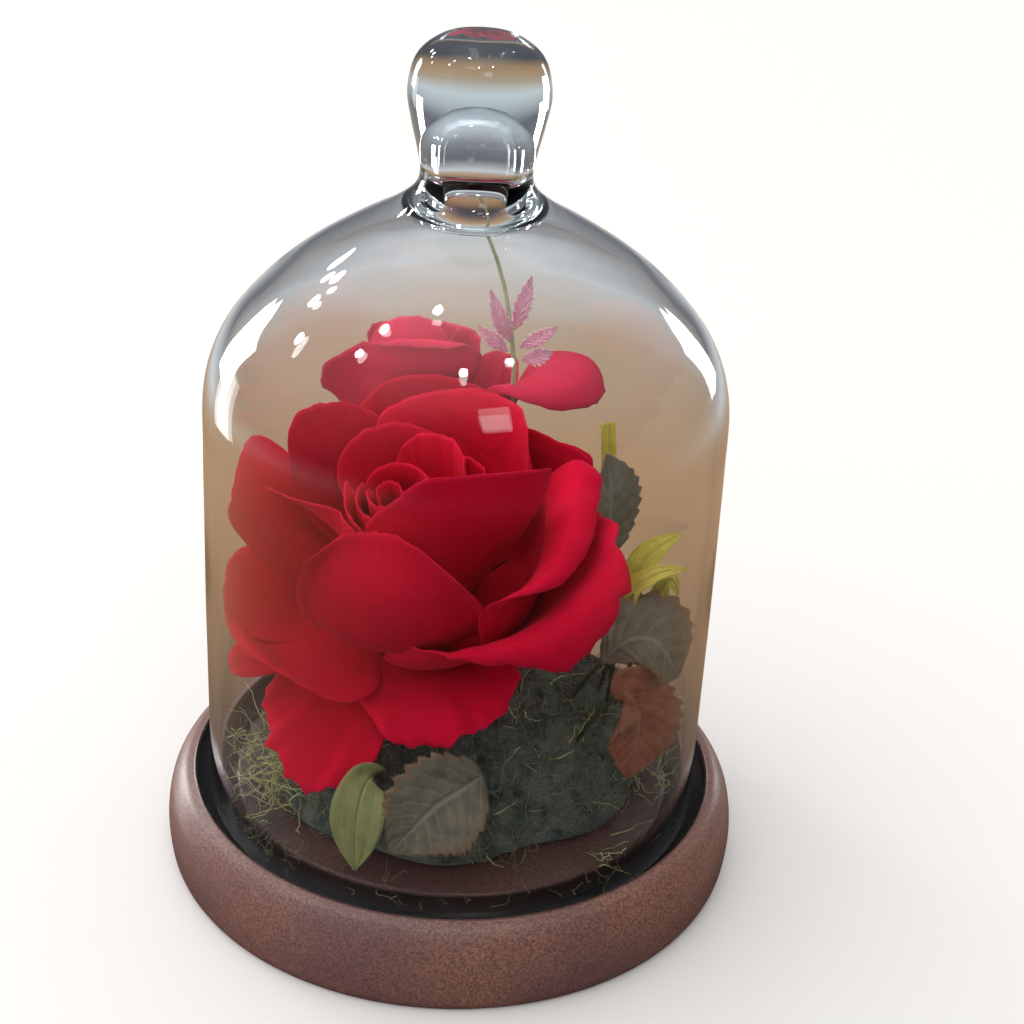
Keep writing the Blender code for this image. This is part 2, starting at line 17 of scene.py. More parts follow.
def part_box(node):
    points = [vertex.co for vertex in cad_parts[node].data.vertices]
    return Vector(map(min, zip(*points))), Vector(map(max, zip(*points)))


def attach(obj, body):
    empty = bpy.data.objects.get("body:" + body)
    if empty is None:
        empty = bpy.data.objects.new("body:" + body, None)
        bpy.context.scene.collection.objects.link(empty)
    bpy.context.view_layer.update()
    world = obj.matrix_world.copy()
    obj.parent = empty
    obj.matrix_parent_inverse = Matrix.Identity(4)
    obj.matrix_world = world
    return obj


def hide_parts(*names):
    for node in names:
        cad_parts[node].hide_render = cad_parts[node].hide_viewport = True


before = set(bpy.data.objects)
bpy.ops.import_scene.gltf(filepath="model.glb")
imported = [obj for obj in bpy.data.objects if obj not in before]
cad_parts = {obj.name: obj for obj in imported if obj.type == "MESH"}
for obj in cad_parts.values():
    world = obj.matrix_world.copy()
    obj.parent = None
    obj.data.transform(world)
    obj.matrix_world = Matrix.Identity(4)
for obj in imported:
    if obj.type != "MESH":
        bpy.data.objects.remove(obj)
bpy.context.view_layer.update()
print("solids in the frame:", len(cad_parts))

# %% [markdown]
# ## Sizes
# Shapes are written in millimetres, because a petal is well under a millimetre thick and metres
# would hide that.
# The sizes of base and glass come from the frame, so the fine pieces cover the solids exactly.

# %% Sizes from the frame
MM = 0.001
CLEAR = 0.3  # glass and moss stand this far clear of the wood
GROOVE_OUT, GROOVE_IN = 3.3, 6.2  # from the glass's outer face to the walls of its groove


def box_mm(node):
    """The low and the high corner of a solid, in millimetres."""
    return [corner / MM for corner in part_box(node)]


BASE_HIGH = box_mm("wood_base")[1]
GLASS_LOW, GLASS_HIGH = box_mm("glass_dome")
MOSS_LOW = box_mm("moss_mound")[0]
BASE_R = BASE_HIGH.x
BASE_H = BASE_HIGH.z
DOME_R = GLASS_HIGH.x
DOME_TOP = GLASS_HIGH.z
DOME_FOOT = GLASS_LOW.z
GROOVE_Z = DOME_FOOT - CLEAR
LIP_R = DOME_R + GROOVE_OUT
PLATFORM_R = DOME_R - GROOVE_IN
PLATFORM_Z = MOSS_LOW.z - CLEAR
print(f"base {2 * BASE_R:.0f} mm across, glass {2 * DOME_R:.0f} mm across, {DOME_TOP:.0f} mm high")

# %% [markdown]
# ## Camera
# The photograph looks down on the dome at about 27 degrees from roughly half a metre away. The
# camera is placed by its height, its distance and three small turns, which were fitted once to
# the outlines of base and glass.

# %% Camera
CAMERA_AT = Vector((0, -385.7, 288.4)) * MM
CAMERA_DOWN, CAMERA_YAW, CAMERA_ROLL = 0.475, 0.030, 0.055
SENSOR = 36.0
FRAME_PIXELS = 1024
FOCAL_PIXELS = 1850

ahead = Vector((
    math.sin(CAMERA_YAW) * math.cos(CAMERA_DOWN),
    math.cos(CAMERA_YAW) * math.cos(CAMERA_DOWN),
    -math.sin(CAMERA_DOWN),
))
right = Vector((math.cos(CAMERA_YAW), -math.sin(CAMERA_YAW), 0))
over = right.cross(ahead)
turned_right = right * math.cos(CAMERA_ROLL) + over * math.sin(CAMERA_ROLL)
turned_over = over * math.cos(CAMERA_ROLL) - right * math.sin(CAMERA_ROLL)
camera = bpy.data.objects.new("camera", bpy.data.cameras.new("camera"))
camera.matrix_world = Matrix.Translation(CAMERA_AT) @ Matrix(
    (turned_right, turned_over, -ahead)
).transposed().to_4x4()
camera.data.sensor_width = SENSOR
camera.data.lens = SENSOR * FOCAL_PIXELS / FRAME_PIXELS
camera.data.clip_start = 0.01
bpy.context.scene.collection.objects.link(camera)
bpy.context.scene.camera = camera
print(f"camera lens {camera.data.lens:.1f} mm")

# %% [markdown]
# ## Shader maths as Python
# A material is easier to read as an expression than as a list of links. `Socket` wraps a node's
# output and adds a Math node for each operator. `Finish` is one material: its `node` method makes
# any other node from its type, its settings and what its sockets get.

# %% A socket that does arithmetic
class Socket:
    """A node's output, for use in expressions. Each operator adds a Math node."""

    def __init__(self, finish, output):
        self.finish = finish
        self.output = output

    def maths(self, operation, first, second=0.0):
        """A Math node on one or two values."""
        return self.finish.node("ShaderNodeMath", {"operation": operation}, {0: first, 1: second})

    def size(self):
        return self.maths("ABSOLUTE", self)

    def rest(self):
        """What is left after the whole turns, from 0 to 1."""
        return self.maths("FRACT", self)

    def most(self, other):
        return self.maths("MAXIMUM", self, other)

    def __add__(self, other):
        return self.maths("ADD", self, other)

    def __sub__(self, other):
        return self.maths("SUBTRACT", self, other)

    def __rsub__(self, other):
        return self.maths("SUBTRACT", other, self)

    def __mul__(self, other):
        return self.maths("MULTIPLY", self, other)

    def __pow__(self, other):
        return self.maths("POWER", self, other)

    __radd__ = __add__
    __rmul__ = __mul__


print("a Socket adds a Math node for + - * and **")

# %% A material to write expressions in
class Finish:
    """A procedural material on one Principled shader."""

    def __init__(self, name, **constants):
        self.material = bpy.data.materials.new(name)
        self.material.use_nodes = True
        self.tree = self.material.node_tree
        self.shader = self.tree.nodes["Principled BSDF"]
        for socket, value in constants.items():
            title = socket.replace("_", " ").title().replace("Ior", "IOR")
            self.feed(self.shader.inputs[title], value)

    def feed(self, socket, value):
        """Give a socket a link, a colour or a number."""
        if isinstance(value, Socket):
            self.tree.links.new(value.output, socket)
        elif isinstance(value, tuple) and len(value) == 3 and socket.type == "RGBA":
            socket.default_value = (*value, 1.0)
        else:
            socket.default_value = value

    def node(self, kind, settings=None, inputs=None, output=0):
        """A new node: settings first, then the values or links of its sockets."""
        made = self.tree.nodes.new(kind)
        for name, value in (settings or {}).items():
            setattr(made, name, value)
        for name, value in (inputs or {}).items():
            self.feed(made.inputs[name], value)
        return Socket(self, made.outputs[output])

    def mix(self, factor, a, b):
        """Two colours mixed by a factor."""
        inputs = {0: factor, 6: a, 7: b}
        return self.node("ShaderNodeMix", {"data_type": "RGBA"}, inputs, output=2)

    def place(self):
        """The point's own place in the object, in metres."""
        return self.node("ShaderNodeTexCoord", output=3)

    def speckle(self, size_mm, detail=2.0, rough=0.5, warp=0.0):
        """Noise from 0 to 1 with lumps of about a size in millimetres."""
        inputs = {
            "Vector": self.place(), "Scale": 1 / (size_mm * MM), "Detail": detail,
            "Roughness": rough, "Distortion": warp,
        }
        return self.node("ShaderNodeTexNoise", inputs=inputs)

    def ramp(self, value, low, high, start=0.0, end=1.0):
        """A value spread from low..high to start..end, held at both ends."""
        inputs = {0: value, 1: low, 2: high, 3: start, 4: end}
        return self.node("ShaderNodeMapRange", inputs=inputs)

    def drawn(self, name):
        """A number that the mesh holds at each point."""
        return self.node("ShaderNodeAttribute", {"attribute_name": name}, output=2)

    def colour(self, value):
        self.feed(self.shader.inputs["Base Color"], value)

    def roughness(self, value):
        self.feed(self.shader.inputs["Roughness"], value)

    def bump(self, height, deep_mm, strength=1.0):
        """Fine relief: height from 0 to 1 stands for deep_mm."""
        inputs = {"Height": height, "Distance": deep_mm * MM, "Strength": strength}
        self.feed(self.shader.inputs["Normal"], self.node("ShaderNodeBump", inputs=inputs))


print("a Finish makes one material")

# %% [markdown]
# ## Meshes from grids
# Petals, leaves, glass and wood are all grids of points. Numpy works out a whole grid at once,
# and one function turns it into a closed sheet with a thickness. Numbers that a finish needs,
# such as how near a point is to the rim, are kept on the mesh as point attributes.

# %% Grid helpers
TURN_STEPS = 192  # round the base and the glass
EDGE_POWER = 16  # the higher, the nearer to its edge a sheet starts to thin
EDGE_SHARE = 0.25  # of the thickness is left at the edge


def smooth_line(points, count):
    """count + 1 points along a Catmull-Rom curve through the given ones, evenly by length."""
    pts = np.array(points, float)
    ends = np.vstack([2 * pts[0] - pts[1], pts, 2 * pts[-1] - pts[-2]])
    steps = np.linspace(0, 1, 24, endpoint=False)[:, None]
    fine = []
    for a, b, c, d in zip(ends, ends[1:], ends[2:], ends[3:]):
        bend = (2 * a - 5 * b + 4 * c - d) * steps**2 + (3 * b - 3 * c + d - a) * steps**3
        fine.append(0.5 * (2 * b + (c - a) * steps + bend))
    fine = np.vstack([*fine, pts[-1:]])
    run = np.concatenate([[0], np.cumsum(np.linalg.norm(np.diff(fine, axis=0), axis=1))])
    want = np.linspace(0, run[-1], count + 1)
    return np.stack([np.interp(want, run, fine[:, k]) for k in range(pts.shape[1])], axis=1)


def unit(vectors):
    """Vectors of length 1."""
    return vectors / np.maximum(np.linalg.norm(vectors, axis=-1, keepdims=True), 1e-9)


def face_grid(rows, columns, flip=False, closed=False):
    """Corner numbers of the quads on a grid of rows x columns points."""
    i = np.arange(rows - 1)[:, None]
    j = np.arange(columns if closed else columns - 1)[None, :]
    k = (j + 1) % columns
    row, after = i * columns, (i + 1) * columns
    quads = np.stack([row + j, row + k, after + k, after + j], -1).reshape(-1, 4)
    return quads[:, ::-1] if flip else quads


def ring_faces(rings, sides):
    """Faces of a closed body made of rings of points, with a flat cap at each end."""
    last = (rings - 1) * sides
    faces = [list(f) for f in face_grid(rings, sides, closed=True)]
    return faces + [list(range(sides - 1, -1, -1)), [last + k for k in range(sides)]]


def add_piece(name, points, faces, finish, replaces=(), drawn=None):
    """A mesh piece in millimetres, finished, placed and riding on the base."""
    mesh = bpy.data.meshes.new(name)
    mesh.from_pydata((np.asarray(points) * MM).tolist(), [], [list(map(int, f)) for f in faces])
    for attribute, values in (drawn or {}).items():
        layer = mesh.attributes.new(attribute, "FLOAT", "POINT")
        layer.data.foreach_set("value", np.asarray(values, np.float32).ravel())
    mesh.shade_smooth()
    mesh.materials.append(finish.material)
    piece = bpy.data.objects.new(name, mesh)
    bpy.context.scene.collection.objects.link(piece)
    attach(piece, "root")
    if replaces:
        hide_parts(*replaces)


def sheet(grid, thick):
    """Points and faces of a thin closed sheet round a grid of points, thinner at its edges."""
    rows, columns = grid.shape[:2]
    along = np.gradient(grid, axis=0)
    across = np.gradient(grid, axis=1)
    normal = unit(np.cross(across, along))
    u = np.linspace(0, 1, rows)[:, None, None]
    t = np.linspace(-1, 1, columns)[None, :, None]
    edge = np.sqrt(np.clip(1 - np.maximum(u, np.abs(t)) ** EDGE_POWER, 0, 1))
    shift = normal * (thick / 2 * np.maximum(edge, EDGE_SHARE))
    points = np.concatenate([(grid + shift).reshape(-1, 3), (grid - shift).reshape(-1, 3)])
    other = rows * columns
    faces = np.vstack([face_grid(rows, columns), face_grid(rows, columns, flip=True) + other])
    ring = list(range(columns - 1))
    ring += [i * columns + columns - 1 for i in range(rows - 1)]
    ring += [(rows - 1) * columns + j for j in range(columns - 1, 0, -1)]
    ring += [i * columns for i in range(rows - 1, 0, -1)]
    ring = np.array(ring)
    after = np.roll(ring, -1)
    band = np.stack([ring, ring + other, after + other, after], -1)
    return points, np.vstack([faces, band])


def turned(profile, steps):
    """Points and faces of an outline of (radius, height), from pole to pole, spun round Z."""
    profile = np.array(profile, float)
    angle = np.linspace(0, 2 * np.pi, steps, endpoint=False)
    r, z = profile[1:-1, 0][:, None], profile[1:-1, 1][:, None]
    grid = np.stack([r * np.cos(angle), r * np.sin(angle), z + 0 * angle], -1)
    points = np.vstack([grid.reshape(-1, 3), [[0, 0, profile[0][1]], [0, 0, profile[-1][1]]]])
    faces = [list(f) for f in face_grid(len(profile) - 2, steps, flip=True, closed=True)]
    first, last, end = len(points) - 2, len(points) - 1, (len(profile) - 3) * steps
    faces += [[first, k, (k + 1) % steps] for k in range(steps)]
    faces += [[last, end + (k + 1) % steps, end + k] for k in range(steps)]
    return points, faces


print("helpers ready")

# %% [markdown]
# ## Wooden base
# The base is one turned block, stained a copper brown that shifts to mauve, with a satin skin and
# a fine speckle where stain sat in the pores. The groove that holds the glass is almost black. The
# profile is that of the solid, with a round lip instead of facets, and the groove's colour comes
# from the radius and height of each point, so it stays sharp at the lip.

# %% Stained wood
wood = Finish("stained_wood", roughness=0.5, coat_weight=0.35, coat_roughness=0.3)
split = wood.node("ShaderNodeSeparateXYZ", inputs={0: wood.place()})
x_place, y_place, z_place = (Socket(wood, split.output.node.outputs[k]) for k in range(3))
radius = (x_place * x_place + y_place * y_place) ** 0.5
patches = wood.speckle(38, detail=3)
pores = wood.speckle(0.55, detail=3, rough=0.7)
copper = wood.mix(wood.ramp(patches, 0.35, 0.65), (0.190, 0.080, 0.074), (0.310, 0.125, 0.076))
specks_and_shade = wood.mix(wood.ramp(pores, 0.38, 0.66), (0.085, 0.038, 0.036), copper)
# painted shade: the platform inside the groove is mixed 38 % towards a dark brown
painted_platform_shade = wood.ramp(radius, (PLATFORM_R - 0.8) * MM, PLATFORM_R * MM, 0.38, 0.0)
specks_and_shade = wood.mix(painted_platform_shade, specks_and_shade, (0.045, 0.030, 0.032))
in_groove = wood.ramp(radius, (PLATFORM_R - 0.4) * MM, (PLATFORM_R + 0.1) * MM)
in_groove = in_groove * wood.ramp(radius, (LIP_R - 0.1) * MM, (LIP_R + 0.6) * MM, 1.0, 0.0)
in_groove = in_groove * wood.ramp(z_place, (GROOVE_Z - 2) * MM, (GROOVE_Z - 1) * MM)
wood.colour(wood.mix(in_groove, specks_and_shade, (0.012, 0.010, 0.010)))
wood.roughness(wood.ramp(pores, 0.3, 0.7, 0.58, 0.40))
wood.bump(pores, 0.05, 0.5)
print("wood nodes:", len(wood.tree.nodes))

# %% Turn the base
bulge = smooth_line(
    [(BASE_R - 7, BASE_H), (BASE_R - 4, BASE_H - 1.4), (BASE_R - 1.2, BASE_H - 5.4),
     (BASE_R, BASE_H * 0.45), (BASE_R - 0.3, 3.0), (BASE_R - 1.0, 0.6), (BASE_R - 1.8, 0)],
    32,
)
inner_lip = [(LIP_R, GROOVE_Z), (LIP_R, BASE_H - 1.0), (LIP_R + 0.25, BASE_H - 0.35)]
inner_lip += [(LIP_R + 0.8, BASE_H)]
platform = [(0, PLATFORM_Z), (PLATFORM_R - 1.0, PLATFORM_Z), (PLATFORM_R - 0.3, PLATFORM_Z - 0.3)]
platform += [(PLATFORM_R, PLATFORM_Z - 1.0), (PLATFORM_R, GROOVE_Z)]
base_profile = [*platform, *inner_lip, *bulge, (0, 0)]
points, faces = turned(base_profile, TURN_STEPS)
add_piece("turned_base", points, faces, wood, ["wood_base"])
print("base points:", len(points))

# %% [markdown]
# ## Glass dome
# The dome is blown in one piece: a 2.5 mm wall, a sloping shoulder, a neck with an air pocket and a
# solid knob. A lens needs true curves, so both faces are smooth turned profiles, and the mesh is
# one closed body with a clear Principled shader. Its transmission, IOR and absorption are plain
# values.

# %% Clear glass
glass = Finish(
    "clear_glass", base_color=(0.99, 1.0, 1.0), roughness=0.0, transmission_weight=1.0, ior=1.47
)
thick_tint = glass.node(
    "ShaderNodeVolumeAbsorption", inputs={"Color": (0.55, 0.86, 0.95), "Density": 14.0}
)
glass.feed(glass.tree.nodes["Material Output"].inputs["Volume"], thick_tint)
print("glass IOR:", glass.shader.inputs["IOR"].default_value)

# %% Blow the dome
WALL = 2.5
INNER_R = DOME_R - WALL
KNOB = [
    (0, DOME_TOP), (4.9, DOME_TOP - 0.35), (9.0, DOME_TOP - 1.5), (13.6, DOME_TOP - 5.5),
    (15.3, DOME_TOP - 12.4), (14.3, DOME_TOP - 19), (12.9, DOME_TOP - 25), (12.1, 171.6),
]
SHOULDER = [
    (13.6, 167.6), (19.1, 163.2), (27.9, 158.2), (38.6, 151.2), (47.3, 143.6), (55.0, 134.0),
    (59.0, 122.8), (59.6, 108), (DOME_R - 0.2, 90), (DOME_R, 70), (DOME_R, 50),
    (DOME_R, DOME_FOOT + 1),
]
FOOT = [(DOME_R - 0.3, DOME_FOOT + 0.3), (DOME_R - 1.2, DOME_FOOT), (DOME_R - 2.2, DOME_FOOT + 0.3)]
INSIDE = [
    (INNER_R, DOME_FOOT + 1), (INNER_R, 50), (INNER_R, 70), (57.4, 90), (57.1, 108),
    (56.5, 122.2), (52.6, 132.8), (45.3, 141.6), (37.1, 148.8), (26.6, 155.4), (18.0, 160.0),
    (13.2, 162.4),
]
POCKET = [
    (11.3, 160.4), (9.4, 159.9), (8.0, 162.2), (7.7, 167.5), (8.1, 174), (7.9, 179.8),
    (6.6, 183.2), (4.3, 185.5), (0, 186.6),
]
outline = smooth_line([*KNOB, *SHOULDER], 150)
inline = smooth_line([*INSIDE, *POCKET], 150)
points, faces = turned([*outline, *FOOT, *inline], TURN_STEPS)
add_piece("blown_dome", points, faces, glass, ["glass_dome"])
print("dome points:", len(points))

# %% [markdown]
# ## A rose's own frame
# Each rose leans, so its petals are written round its own axis: a petal has an azimuth, a half
# width in degrees and a middle line of (radius, height) points. The first petals are wound into
# the bud, the last ones lie open. The same kind of numbers shapes the solids. Here each petal gets
# a finer grid, rounded corners, a rim that draws in and rolls outwards, and a slight frill.

# %% The rose frame and its petals' surface
RIM_FROM = 0.86  # share of a petal's length or half width where its rim starts to roll


class Rose:
    """Where a rose's petals join, which way it faces, and its turn."""

    def __init__(self, heart, lean_x, lean_y):
        self.heart = np.array(heart, float)
        ax, ay = math.radians(lean_x), math.radians(lean_y)
        self.axis = np.array(
            [math.sin(ax), math.cos(ax) * math.sin(ay), math.cos(ax) * math.cos(ay)]
        )
        self.right = unit(np.array([1.0, 0, 0]) - self.axis * self.axis[0])
        self.back = np.cross(self.axis, self.right)

    def place(self, radius, azimuth, height):
        """Points from the rose's own radius, azimuth in degrees, and height."""
        angle = np.radians(azimuth)[..., None]
        spoke = self.right * np.cos(angle) + self.back * np.sin(angle)
        return self.heart + spoke * radius[..., None] + self.axis * height[..., None]


def ripple(t, u, count, seed):
    """Smooth random waves across a petal, from -1 to 1, that grow with u."""
    rng = random.Random(seed)
    total = 0
    for wave in (0.6, 1.0, 1.7, 2.6):
        total = total + math.sqrt(1 / wave) * np.sin(
            math.pi * count * wave * t + rng.uniform(0, math.tau) + u * rng.uniform(-2, 2)
        )
    return total / 2.6


def beyond(value, start):
    """0 up to a start, then rising evenly to 1 where the value is 1."""
    return np.clip((value - start) / (1 - start), 0, 1)


def petal_grid(rose, petal, rows, columns, seed):
    """Points over one petal, with its rim's frill and lip."""
    low, high, lean = petal.get("low", 0), petal.get("high", 0), petal.get("lean", 0)
    drop, point, tip = petal.get("drop", 0.2), petal.get("point", 3), petal.get("tip", 0)
    claw, twist, rise = petal.get("claw", 0.6), petal.get("twist", 0), petal.get("rise", 4)
    frill = petal.get("frill", 0.42 if petal["line"][-1][0] > 12 else 0.12)
    nick, lip = petal.get("nick", 0.005), petal.get("lip", 0.5)
    count, roll = petal.get("count", 2 + petal["half"] / 30), petal.get("roll", 0.5)
    u = np.linspace(0, 1, rows + 1)[:, None]
    t = np.linspace(-1, 1, columns + 1)[None, :]
    away = np.abs(t - tip) / (1 + abs(tip))
    s = u * (1 - drop * away**point - nick * (1 + ripple(t, 0, count * 2, seed + 7)))
    s = s * (1 - petal.get("corner", 0.12) * beyond(np.abs(t), 0.72) ** 2.5)
    pieces = 120
    fine = smooth_line(petal["line"], pieces)
    k = np.minimum((s * pieces).astype(int), pieces - 1)
    part = (s * pieces - k)[..., None]
    here = fine[k] * (1 - part) + fine[k + 1] * part
    steer = unit(fine[k + 1] - fine[k])
    opened = np.minimum(s / 0.6, 1)
    width = claw + (1 - claw) * opened * (2 - opened)
    width = width * (1 - petal.get("pinch", 0.07) * beyond(u, 0.55) ** 2)
    push = frill * ripple(t, u, count, seed) * (0.15 * u + 0.85 * u**4)
    push = push + lip * beyond(u, RIM_FROM) ** 2 + roll * u * beyond(np.abs(t), RIM_FROM) ** 2
    sides = low * np.maximum(-t, 0) ** 3 + high * np.maximum(t, 0) ** 3
    swell = 1 + lean * t * s + sides * s**rise
    radius = (here[..., 0] + steer[..., 1] * push) * swell
    height = here[..., 1] - steer[..., 0] * push + twist * t * s * s
    return rose.place(radius, petal["azimuth"] + petal["half"] * width * t, height)


FRONT_ROSE = Rose(heart=(-8.2, -2.5, 65.0), lean_x=-10, lean_y=-27)
REAR_ROSE = Rose(heart=(-10, 32, 80.5), lean_x=0, lean_y=6)
print("rose axes:", FRONT_ROSE.axis.round(2), REAR_ROSE.axis.round(2))

# %% [markdown]
# ## Velvet petals
# A preserved petal is matt and velvety, deep red, with a slight bloom where it is seen on edge. A
# little sheen gives the bloom. The colour is darker towards the petal's foot, a painted shade deep
# in the flower, with random mottle over it. It turns paler by how near the rim a point is, which
# the mesh carries as `edge`: a painted highlight where the rims catch the light. The bump is a fine
# crinkle, with faint veins and nap.

# %% Velvet
def velvet(name, deep, bright, painted_rim_highlight):
    """A velvety petal finish."""
    finish = Finish(
        name, roughness=0.85, sheen_weight=0.22, sheen_roughness=0.4, specular_ior_level=0.06
    )
    finish.feed(finish.shader.inputs["Sheen Tint"], (1.0, 0.12, 0.20))
    along, across, edge = finish.drawn("along"), finish.drawn("across"), finish.drawn("edge")
    mottle = finish.speckle(9, detail=3)
    nap = finish.speckle(0.35, detail=2)
    where = finish.node("ShaderNodeCombineXYZ", inputs={0: across * 13, 1: along * 2.2, 2: 0.0})
    veins = finish.node("ShaderNodeTexNoise", inputs={"Vector": where, "Scale": 1.0, "Detail": 3.0})
    # painted shade: the colour darkens towards the petal's foot, with random mottle over it
    body = finish.mix(finish.ramp(along * 0.8 + mottle * 0.4, 0.2, 0.9), deep, bright)
    body = finish.mix(finish.ramp(nap, 0.35, 0.65, 0.0, 0.22), body, deep)
    # painted highlight: the colour turns paler near the rim
    body = finish.mix(finish.ramp(edge, 1.1, 0.2, 0.0, 0.4), body, painted_rim_highlight)
    finish.colour(body)
    crinkle = finish.speckle(5.5, detail=3, rough=0.55, warp=0.6)
    finish.bump(crinkle * 2.4 + veins * 0.35 + nap * 0.25, 0.42, 0.55)
    return finish


front_velvet = velvet(
    "front_velvet", (0.36, 0.002, 0.012), (0.76, 0.005, 0.040), (0.78, 0.018, 0.065)
)
rear_velvet = velvet(
    "rear_velvet", (0.38, 0.010, 0.032), (0.74, 0.026, 0.078), (0.78, 0.09, 0.15)
)
print("velvet nodes:", len(front_velvet.tree.nodes))

# %% [markdown]
# ## Petals
# The tables hold the petals from the bud outwards, in the order of the solids. Azimuth 0 is the
# right side, 90 the far side and 270 the side towards the viewer. Some petals are shaped more
# freely than their solids: the cup and those next to it, the open ones at the right, at the left
# and below, and four of the rear rose.

# %% The petals of both roses
def one_petal(azimuth, half, line, **bends):
    """One row of a table of petals."""
    return dict(azimuth=azimuth, half=half, line=line, **bends)


FRONT_PETALS = [
    # the wound bud
    one_petal(100, 150, [(2.6, 6.4), (3.6, 24), (3.2, 38), (2.2, 47)], drop=0.02, claw=1),
    one_petal(250, 118, [(4.2, 6), (5.8, 24), (5.5, 38), (4.2, 47.6)], drop=0.06, claw=0.9),
    one_petal(60, 108, [(5.6, 5.4), (8, 22), (8.4, 38), (8, 46.6)], drop=0.08, claw=0.9,
        lean=-0.2),
    one_petal(215, 78, [(6.8, 5), (8.2, 22), (8, 38), (6.8, 46.4)], drop=0.03, claw=0.8,
        corner=0.03),
    # half open petals round the bud
    one_petal(56, 48, [(8.4, 4.6), (13.6, 18.2), (17.3, 34.3), (19, 45.5)], drop=0.27, tip=-0.16,
        low=-0.14, high=-0.31, twist=-2.39, claw=0.7, lean=0.04),
    one_petal(96, 44, [(9.8, 4.2), (16.4, 17), (20.6, 32), (22, 43)], drop=0.2),
    one_petal(30, 28, [(9.8, 4.2), (16.8, 17), (20.4, 31), (21.4, 39.5)], drop=0.2),
    one_petal(196, 52, [(8.1, 4.6), (10.1, 22), (10.2, 38), (9.4, 46.5)], drop=0.05, low=0.25,
        claw=0.8, corner=0.05),
    one_petal(207, 42, [(9.4, 4.2), (12.1, 20), (11.9, 37), (10.6, 45.5)], drop=0.1, low=2.4,
        claw=0.8, corner=0.02, pinch=0),
    one_petal(305, 60, [(9.4, 4.2), (14.2, 19.6), (13.6, 38.1), (8.1, 54.8)], drop=0.22,
        tip=-0.13, low=0.15, high=2.25, twist=5.11, claw=0.86, lean=0.12, point=5.07, rise=1.2,
        corner=0, pinch=0),
    # the cup towards the viewer
    one_petal(265, 47, [(10.8, 3.8), (18.4, 10.9), (25.4, 23), (22.8, 36.9), (11.9, 49.4)],
        drop=0.05, tip=-0.28, low=0.4, high=0.9, twist=0.47, claw=0.62, rise=4.05, lip=1.2,
        roll=2.8, frill=0.2, corner=0.12, pinch=0.17),
    # open petals, upper half
    one_petal(65, 44, [(11, 3.7), (21, 12), (28.1, 25.9), (32.7, 37.1), (35.4, 41.8)], drop=0.08,
        tip=-0.07, low=-0.33, high=0.1, twist=-2, lean=-0.19, point=3.44),
    one_petal(122, 29, [(12.2, 3.3), (23.5, 11), (29.9, 24), (33.5, 35.9), (34.8, 43.2)],
        drop=0.28, tip=0.29, low=-0.06, high=-0.29, twist=1.04, lean=0.04, point=2.68),
    one_petal(81, 39, [(13.4, 2.9), (25, 9.5), (33.5, 22), (37.4, 32.8), (39.1, 39.4)], drop=0.27,
        tip=-0.06, low=0.12, high=-0.12, twist=0.72, point=3.23),
    one_petal(159, 25, [(13.4, 2.9), (24.5, 8.2), (32.7, 19.7), (37.4, 31), (40.4, 39.8)],
        drop=0.24, tip=-0.03, low=0.12, high=0.3, twist=3.35, lean=-0.18, point=3.31),
    one_petal(42, 21, [(14.8, 2.4), (28.1, 7.7), (37.1, 18.8), (39.7, 27.4), (40.1, 31.5)],
        drop=0.41, tip=-0.2, low=0.31, twist=1.2, lean=-0.06),
    # the large petal at the right, rolled outwards
    one_petal(345, 40,
        [(12.2, 3.3), (25.1, 7.4), (31, 18.5), (32.5, 29), (38.1, 35.5), (43.2, 32.6)], drop=0.22,
        tip=0.45, low=-0.4, high=0.12, twist=-1.2, claw=0.84, lean=0.06),
    # open petals, lower half
    one_petal(213, 40, [(14.6, 2.5), (27.1, 5.4), (36.3, 10.1), (39.4, 15.8), (41.5, 15.9)],
        drop=0.4, tip=-0.53, low=-0.13, high=0.34, twist=-0.53, claw=0.57, lean=-0.19, point=2.83),
    one_petal(312, 64, [(13.8, 2.5), (25, 9), (31.8, 19), (36.3, 27), (42, 28.6), (47.6, 22)],
        drop=0.51, tip=0.15, low=-0.55, high=-0.41, twist=5, claw=0.7, lean=0.62, point=1.2,
        frill=0.9, nick=0.03),
    one_petal(279, 41, [(14.8, 3), (26, 4.4), (33.9, 4.6), (40.3, 2.5)], drop=0.18, tip=-0.07,
        low=-0.51, high=-0.13, twist=3.47, lean=0.04, point=2.88, claw=0.9, frill=1.5, nick=0.04),
    one_petal(231, 28, [(16, 1), (28.1, -0.1), (38.7, -1.5), (46.7, -2.1), (51.4, -4)], drop=0.37,
        tip=-0.07, low=0.13, high=-0.16, twist=-3.91, claw=0.53, lean=0.16, frill=1.6, nick=0.04),
    one_petal(201, 11, [(16, 1.4), (27.3, 2.6), (37.7, 5.3), (47.2, 7)], drop=0.32, high=0.04,
        twist=0.28),
    # petals hidden in the photograph's view, under the left and right sides
    one_petal(180, 24, [(14.8, 2.3), (27.3, 4.9), (37.2, 11.4), (44.5, 18.7)], drop=0.32, tip=0.1),
    one_petal(24, 24, [(16, 1.4), (26, 2.6), (34, 5.6), (40, 9)], drop=0.25),
]

